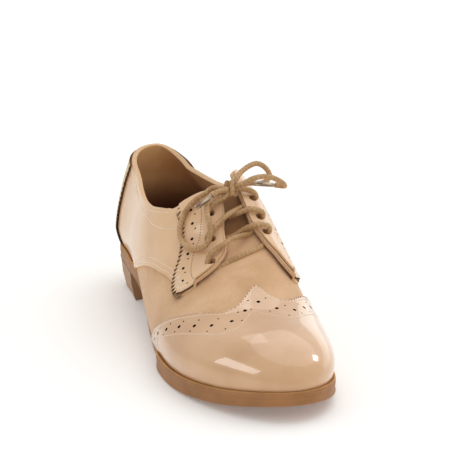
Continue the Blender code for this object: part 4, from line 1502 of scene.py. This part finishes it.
count = len(loops[0])
faces = ring_faces(loops)
faces.append(tuple(range(count)))
faces.append(tuple(range(len(loops) * count - 1, (len(loops) - 1) * count - 1, -1)))
heel = make_piece("heel_block", np.concatenate(loops), faces, (HEEL_RUBBER,))
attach(heel, "root")
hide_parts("heel")

# The lace
# One round waxed cord of plaited cotton. It crosses the throat through the eyelets and is
# tied in a bow, and clear plastic tips bind its ends.
LACE_THICKNESS = 0.0027
AGLET_THICKNESS = 0.0024
KNOT_PLACE = (0.0014, -0.1080, 0.0805)

# Routes of the bow's loops and ends, in metres: each leaves the knot, and a loop comes back
LOOP_OUTER = (
    (-0.0074, -0.1050, 0.0807),
    (-0.0112, -0.1043, 0.0778),
    (-0.0152, -0.1033, 0.0753),
    (-0.0190, -0.1036, 0.0721),
    (-0.0225, -0.1047, 0.0679),
    (-0.0249, -0.1075, 0.0638),
    (-0.0262, -0.1119, 0.0597),
    (-0.0259, -0.1168, 0.0572),
    (-0.0243, -0.1218, 0.0561),
    (-0.0216, -0.1268, 0.0564),
    (-0.0185, -0.1304, 0.0583),
    (-0.0161, -0.1309, 0.0617),
    (-0.0146, -0.1278, 0.0652),
    (-0.0141, -0.1228, 0.0687),
    (-0.0137, -0.1179, 0.0720),
    (-0.0124, -0.1138, 0.0752),
    (-0.0098, -0.1102, 0.0779),
)
END_OUTER = (
    (-0.0077, -0.1154, 0.0812),
    (-0.0102, -0.1164, 0.0797),
)
AGLET_OUTER = ((-0.0107, -0.1165, 0.0794), (-0.0189, -0.1154, 0.0739))
LOOP_INNER = (
    (0.0072, -0.1030, 0.0864),
    (0.0105, -0.1008, 0.0881),
    (0.0139, -0.0990, 0.0893),
    (0.0178, -0.0972, 0.0897),
    (0.0214, -0.0955, 0.0880),
    (0.0243, -0.0947, 0.0851),
    (0.0252, -0.0955, 0.0822),
    (0.0230, -0.0975, 0.0803),
    (0.0190, -0.1000, 0.0799),
    (0.0142, -0.1022, 0.0809),
    (0.0102, -0.1036, 0.0814),
)
END_INNER = (
    (0.0071, -0.1140, 0.0845),
    (0.0107, -0.1160, 0.0868),
    (0.0149, -0.1175, 0.0878),
    (0.0189, -0.1180, 0.0874),
    (0.0229, -0.1173, 0.0855),
    (0.0263, -0.1150, 0.0830),
    (0.0284, -0.1115, 0.0807),
    (0.0286, -0.1082, 0.0797),
    (0.0273, -0.1060, 0.0795),
    (0.0251, -0.1056, 0.0798),
)
AGLET_INNER = ((0.0246, -0.1056, 0.0799), (0.0142, -0.1060, 0.0816))
LACE_REST = 0.0003
LACE_PLAIT = 0.0022
LACE_SIDES = 16

# The route through the eyelets: share, level, and whether it lies under the flaps (0) or on
# them (1). It starts at the knot, goes down one side and comes back up the other.
LACING = ("share", "level", "over")
LACINGS = (
    (0.535, -0.105, 1.10),
    (0.538, -0.150, 1.15),
    (0.543, -0.195, 1.00),
    (0.545, -0.215, 0.55),
    (0.548, -0.210, 0.05),
    (0.554, -0.160, 0.00),
    (0.560, -0.105, 0.10),
    (0.565, -0.050, 0.55),
    (0.567, 0.010, 1.00),
    (0.568, 0.065, 1.05),
    (0.569, 0.120, 1.05),
    (0.570, 0.148, 0.75),
    (0.571, 0.150, 0.25),
    (0.577, 0.120, 0.00),
    (0.590, 0.060, 0.00),
    (0.604, -0.010, 0.15),
    (0.616, -0.075, 0.60),
    (0.626, -0.135, 1.02),
    (0.635, -0.190, 1.05),
    (0.643, -0.245, 1.10),
    (0.648, -0.278, 0.80),
    (0.649, -0.284, 0.30),
    (0.655, -0.265, 0.00),
    (0.657, -0.200, 0.00),
    (0.652, -0.100, 0.10),
    (0.644, 0.000, 0.12),
    (0.634, 0.080, 0.05),
    (0.618, 0.140, 0.00),
    (0.606, 0.163, 0.25),
    (0.604, 0.158, 0.80),
    (0.603, 0.130, 1.10),
    (0.602, 0.080, 1.05),
    (0.602, 0.020, 0.95),
    (0.601, -0.040, 0.60),
    (0.600, -0.100, 0.15),
    (0.598, -0.160, 0.00),
    (0.596, -0.225, 0.00),
    (0.595, -0.252, 0.30),
    (0.594, -0.250, 0.85),
    (0.588, -0.215, 1.10),
    (0.578, -0.165, 1.08),
    (0.569, -0.118, 1.00),
    (0.560, -0.070, 0.65),
    (0.550, -0.010, 0.25),
    (0.541, 0.050, 0.02),
    (0.532, 0.120, 0.00),
    (0.530, 0.148, 0.30),
    (0.530, 0.145, 0.85),
    (0.529, 0.110, 1.12),
    (0.528, 0.070, 1.15),
    (0.527, 0.030, 1.20),
)


def smooth_route(route, spacing):
    """Points at an even spacing along one smooth curve through a route's points."""
    ends = [2 * route[0] - route[1]], [2 * route[-1] - route[-2]]
    knots = np.concatenate([ends[0], route, ends[1]])
    fine = []
    for a, b, c, d in zip(knots, knots[1:], knots[2:], knots[3:]):
        q = np.linspace(0, 1, 40, endpoint=False)[:, None]
        bend = 2 * a - 5 * b + 4 * c - d
        twist = 3 * b - a - 3 * c + d
        fine.append((2 * b + (c - a) * q + bend * q * q + twist * q ** 3) / 2)
    fine = np.concatenate(fine + [route[-1:]])
    run = run_along(fine)
    at = np.linspace(0, run[-1], max(2, round(run[-1] / spacing) + 1))
    return np.stack([np.interp(at, run, fine[:, k]) for k in range(3)], -1)


def tube_rings(route, radius, sides):
    """Rings round a route that don't twist."""
    ahead = np.gradient(route, axis=0)
    ahead /= np.linalg.norm(ahead, axis=1, keepdims=True)
    side = np.cross(ahead[0], (0, 0, 1))
    side /= np.linalg.norm(side)
    turn = np.linspace(0, 2 * np.pi, sides, endpoint=False)
    rings = []
    width = np.broadcast_to(radius, len(route))
    for place, way, wide in zip(route, ahead, width):
        side = side - way * np.dot(side, way)
        side /= np.linalg.norm(side)
        other = np.cross(way, side)
        rings.append(place + wide * (np.cos(turn)[:, None] * side + np.sin(turn)[:, None] * other))
    return rings


def make_tubes(name, routes, radius, finish):
    """Closed tubes in one mesh, with a map of metres along and turns round each."""
    sides = LACE_SIDES
    points, faces, maps = [], [], []
    for route in routes:
        rings = tube_rings(route, radius, sides)
        first = len(points)
        run = run_along(route)
        for ring in rings:
            points += list(ring)
        for i in range(len(rings) - 1):
            for k in range(sides):
                a, b = first + i * sides + k, first + i * sides + (k + 1) % sides
                faces.append((a, b, b + sides, a + sides))
                u = (k / sides, (k + 1) / sides)
                maps += [(run[i], u[0]), (run[i], u[1]), (run[i + 1], u[1]), (run[i + 1], u[0])]
        for cap, at in ((0, 0), (len(rings) - 1, run[-1])):
            ring = [first + cap * sides + k for k in range(sides)]
            faces.append(tuple(ring if cap else reversed(ring)))
            maps += [(at, 0.5)] * sides
    mesh = bpy.data.meshes.new(name)
    mesh.from_pydata([tuple(p) for p in points], [], faces)
    layer = mesh.uv_layers.new(name="plait")
    layer.data.foreach_set("uv", np.array(maps, dtype=np.float32).ravel())
    mesh.materials.append(finish)
    mesh.shade_smooth()
    mesh.set_sharp_from_angle(angle=1.0)
    piece = bpy.data.objects.new(name, mesh)
    bpy.context.scene.collection.objects.link(piece)
    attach(piece, "root")
    return piece


def make_waxed():
    paint = Paint("waxed_cord")
    place = paint.add("ShaderNodeUVMap", {"uv_map": "plait"})
    split = paint.add("ShaderNodeSeparateXYZ", {}, place)
    around = Wire(paint, split.socket.node.outputs[1])
    phase = split / LACE_PLAIT
    one = ((phase + around * 2.0) * (2 * math.pi)).math("SINE")
    two = ((phase - around * 2.0) * (2 * math.pi)).math("SINE")
    plait = one.math("MAXIMUM", two) * 0.5 + 0.5
    fibre = paint.noise(2600, 3, 0.6)
    patch = paint.noise(120, 3, 0.6)
    base = paint.mix(patch.step(0.3, 0.7), tone(172, 132, 86), tone(204, 166, 120))
    # Painted shade: the cord is darker in the grooves between its plaits
    base = paint.mix(plait.step(0.0, 0.9) * 0.5 + 0.5, tone(140, 104, 62), base)
    base = paint.mix(fibre.step(0.55, 0.8) * 0.35, base, tone(206, 174, 134))
    height = plait * 0.5 + fibre * 0.5
    return paint.finish(Base_Color=base, Roughness=0.62, Normal=paint.bump(height, 0.00015, 0.7),
                        Specular_IOR_Level=0.4)


def make_tip():
    paint = Paint("aglet_plastic")
    place = paint.add("ShaderNodeUVMap", {"uv_map": "plait"})
    # Painted highlight: pale streaks along the clear tip stand in for glints and the bright room seen in
    # it
    glint_streak = paint.add("ShaderNodeMapping", {}, place, Scale=(60, 3, 1))
    glint_streak = paint.add("ShaderNodeTexNoise", {}, Vector=glint_streak, Scale=1.6, Detail=2.0, out="Fac")
    base = paint.mix(glint_streak.step(0.40, 0.62), tone(110, 78, 44), tone(226, 204, 172))
    return paint.finish(Base_Color=base, Roughness=0.2, Coat_Weight=1.0, Coat_Roughness=0.05)


def lace_height(share, level, over):
    """Height of the lace's middle over the last: on the facings at 1, under the flaps at 0."""
    top = QUARTER_STEP + FLAP_LIFT * both_lifts(share, level) + TRIM_GAP + TRIM_WALL
    top = top + LACE_REST + LACE_THICKNESS / 2
    return over * top


WAXED = make_waxed()
TIP = make_tip()
share, level, over = [column(LACINGS, LACING, name) for name in LACING]
here = last_point(share, level)
out = np.cross(last_point(share + NUDGE, level) - here, last_point(share, level + NUDGE) - here)
out /= np.linalg.norm(out, axis=-1, keepdims=True)
route = here + out * lace_height(share, level, over)[:, None]
route = np.concatenate([[KNOT_PLACE], route, [KNOT_PLACE]])
lacing = make_tubes("lace_run", [smooth_route(route, 0.0012)], LACE_THICKNESS / 2, WAXED)
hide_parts("lace_crossings")

# The knot: both strands go through its middle, and one is wrapped round them
WRAP_TURNS = 1.6
WRAP_LENGTH = 0.0036
WRAP_DEEP = 0.0029
WRAP_TALL = 0.0030
KNOT_CORE = (
    (-0.0035, 0.0012, -0.0002),
    (0.0000, 0.0000, 0.0006),
    (0.0035, -0.0008, 0.0008),
)
wrap = np.linspace(0, 2 * np.pi * WRAP_TURNS, 60)
wrap_route = np.stack([KNOT_PLACE[0] - WRAP_LENGTH / 2 + WRAP_LENGTH * wrap / wrap[-1],
                       KNOT_PLACE[1] + WRAP_DEEP * np.sin(wrap),
                       KNOT_PLACE[2] + WRAP_TALL * np.cos(wrap)], -1)
core_route = smooth_route(np.array(KNOT_CORE) + KNOT_PLACE, 0.0008)
knot = make_tubes("knot_wraps", [wrap_route, core_route], LACE_THICKNESS / 2, WAXED)
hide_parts("lace_knot")

# The bow: on each side the cord leaves the knot, loops back through it and ends in its tip
KNOT_REACH = 0.6
LEAVE_SHARE = 0.6
ENTER_SHARE = 0.5
TIP_END = 0.42
TIP_RINGS = 24
for side, loop, end, tip in (("outer", LOOP_OUTER, END_OUTER, AGLET_OUTER),
                             ("inner", LOOP_INNER, END_INNER, AGLET_INNER)):
    inside = np.array(KNOT_PLACE)
    leave = inside + (np.array(loop[0]) - inside) * KNOT_REACH * LEAVE_SHARE
    enter = inside + (np.array(loop[-1]) - inside) * KNOT_REACH * ENTER_SHARE
    free = inside + (np.array(end[0]) - inside) * KNOT_REACH * LEAVE_SHARE
    route = smooth_route(np.array([leave, *loop, enter, free, *end]), 0.0011)
    aglet_route = np.linspace(tip[0], tip[1], TIP_RINGS)
    radius = np.full(TIP_RINGS, AGLET_THICKNESS / 2)
    radius[[0, -1]] = AGLET_THICKNESS * TIP_END
    aglet = make_tubes("tip_" + side, [aglet_route], radius, TIP)
    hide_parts("aglet_" + side)
    cord = make_tubes("lace_bow_" + side, [route], LACE_THICKNESS / 2, WAXED)
    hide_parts("lace_loop_" + side, "lace_end_" + side)

# The floor, the lights and the camera
# A plain white floor in a white room, four soft lamps that show in the gloss, a wide overhead
# light, and a camera at the photograph's angle.
FLOOR_GLOW = 0.15
FLOOR_REACH = 6.0


def make_floor():
    paint = Paint("floor")
    return paint.finish(Base_Color=tone(248, 247, 245), Roughness=0.9, Specular_IOR_Level=0.1,
                        Emission_Color=tone(255, 255, 255), Emission_Strength=FLOOR_GLOW)


floor_mesh = bpy.data.meshes.new("floor")
corners = [(x * FLOOR_REACH, y * FLOOR_REACH, 0) for x, y in ((-1, -1), (1, -1), (1, 1), (-1, 1))]
floor_mesh.from_pydata(corners, [], [(0, 1, 2, 3)])
floor_mesh.materials.append(make_floor())
floor = bpy.data.objects.new("floor", floor_mesh)
bpy.context.scene.collection.objects.link(floor)

ROOM_BASE = 0.70
ROOM_BACK = 0.10
ROOM_TOP = 0.10
ROOM_INNER = 0.14


def make_room():
    """A white room, brighter behind, above and on the inner side of the shoe."""
    world = bpy.data.worlds.new("room")
    world.use_nodes = True
    nodes, links = world.node_tree.nodes, world.node_tree.links
    way = nodes.new("ShaderNodeTexCoord").outputs["Generated"]
    dot = nodes.new("ShaderNodeVectorMath")
    dot.operation = "DOT_PRODUCT"
    dot.inputs[1].default_value = (ROOM_INNER, ROOM_BACK, ROOM_TOP)
    links.new(way, dot.inputs[0])
    level = nodes.new("ShaderNodeMath")
    level.operation = "ADD"
    level.inputs[1].default_value = ROOM_BASE
    links.new(dot.outputs["Value"], level.inputs[0])
    links.new(level.outputs[0], nodes["Background"].inputs["Strength"])
    nodes["Background"].inputs["Color"].default_value = (1, 1, 1, 1)
    return world


bpy.context.scene.world = make_room()
LAMP_AIM = Vector((-0.010, -0.200, 0.030))

# The lamps: azimuth (0 in front of the toe, 90 at the inner side) and rise in degrees, then
# distance, width and height in metres
LAMP = ("name", "azimuth", "rise", "distance", "width", "height", "radiance")
LAMPS = (
    ("box_outer", -85, 34, 1.0, 0.75, 0.42, 4.5),
    ("box_inner", 104, 38, 1.0, 0.20, 0.20, 11),
    ("box_back", 180, 53, 1.0, 0.20, 0.20, 1.2),
    ("wall_inner", 130, 10, 1.6, 2.0, 0.55, 0.8),
)
SUN_STRENGTH = 0.75
SUN_SPREAD = math.radians(60)
SUN_WAY = Vector((0.35, 0.25, 1.0))


def add_lamp(name, azimuth, rise, distance, width, height, radiance):
    """A soft box that faces the toe, and shows only in what is glossy."""
    azimuth, rise = math.radians(azimuth), math.radians(rise)
    way = Vector((math.sin(azimuth) * math.cos(rise), -math.cos(azimuth) * math.cos(rise),
                  math.sin(rise)))
    light = bpy.data.lights.new(name, "AREA")
    light.shape = "RECTANGLE"
    light.size, light.size_y = width, height
    light.energy = radiance * math.pi * width * height
    lamp = bpy.data.objects.new(name, light)
    turn = way.to_track_quat("Z", "Y").to_matrix().to_4x4()
    lamp.matrix_world = Matrix.Translation(LAMP_AIM + way * distance) @ turn
    lamp.visible_camera = False
    lamp.visible_diffuse = False
    bpy.context.scene.collection.objects.link(lamp)


for lamp in LAMPS:
    add_lamp(**dict(zip(LAMP, lamp)))

sun = bpy.data.lights.new("overhead", "SUN")
sun.energy = SUN_STRENGTH
sun.angle = SUN_SPREAD
overhead = bpy.data.objects.new("overhead", sun)
overhead.matrix_world = SUN_WAY.to_track_quat("Z", "Y").to_matrix().to_4x4()
bpy.context.scene.collection.objects.link(overhead)

IMAGE_WIDTH = 450
CAMERA_TURN = math.radians(-14.652)
CAMERA_RISE = math.radians(16.627)
CAMERA_ROLL = math.radians(-0.95361)
CAMERA_DISTANCE = 1.0
CAMERA_TARGET = Vector((0, -0.1, 0.035))
FOCAL_PIXELS = 1960.4
TARGET_PIXEL = (225.57, 271.6)

back = Vector((math.sin(CAMERA_TURN) * math.cos(CAMERA_RISE),
               -math.cos(CAMERA_TURN) * math.cos(CAMERA_RISE), math.sin(CAMERA_RISE)))
right = Vector((math.cos(CAMERA_TURN), math.sin(CAMERA_TURN), 0))
up = back.cross(right)
place = CAMERA_TARGET + back * CAMERA_DISTANCE
rolled = right * math.cos(CAMERA_ROLL) + up * math.sin(CAMERA_ROLL)
up = up * math.cos(CAMERA_ROLL) - right * math.sin(CAMERA_ROLL)
right = rolled
tilt = Matrix.Rotation(math.atan((TARGET_PIXEL[1] - IMAGE_WIDTH / 2) / FOCAL_PIXELS), 3, right)
pan = Matrix.Rotation(math.atan((TARGET_PIXEL[0] - IMAGE_WIDTH / 2) / FOCAL_PIXELS), 3, up)
turn = pan @ tilt @ Matrix((right, up, back)).transposed()
lens = bpy.data.cameras.new("camera")
lens.sensor_width = 36
lens.lens = FOCAL_PIXELS / IMAGE_WIDTH * lens.sensor_width
lens.clip_end = 20
camera = bpy.data.objects.new("camera", lens)
camera.matrix_world = Matrix.Translation(place) @ turn.to_4x4()
bpy.context.scene.collection.objects.link(camera)
bpy.context.scene.camera = camera
bpy.context.scene.view_settings.view_transform = "Standard"
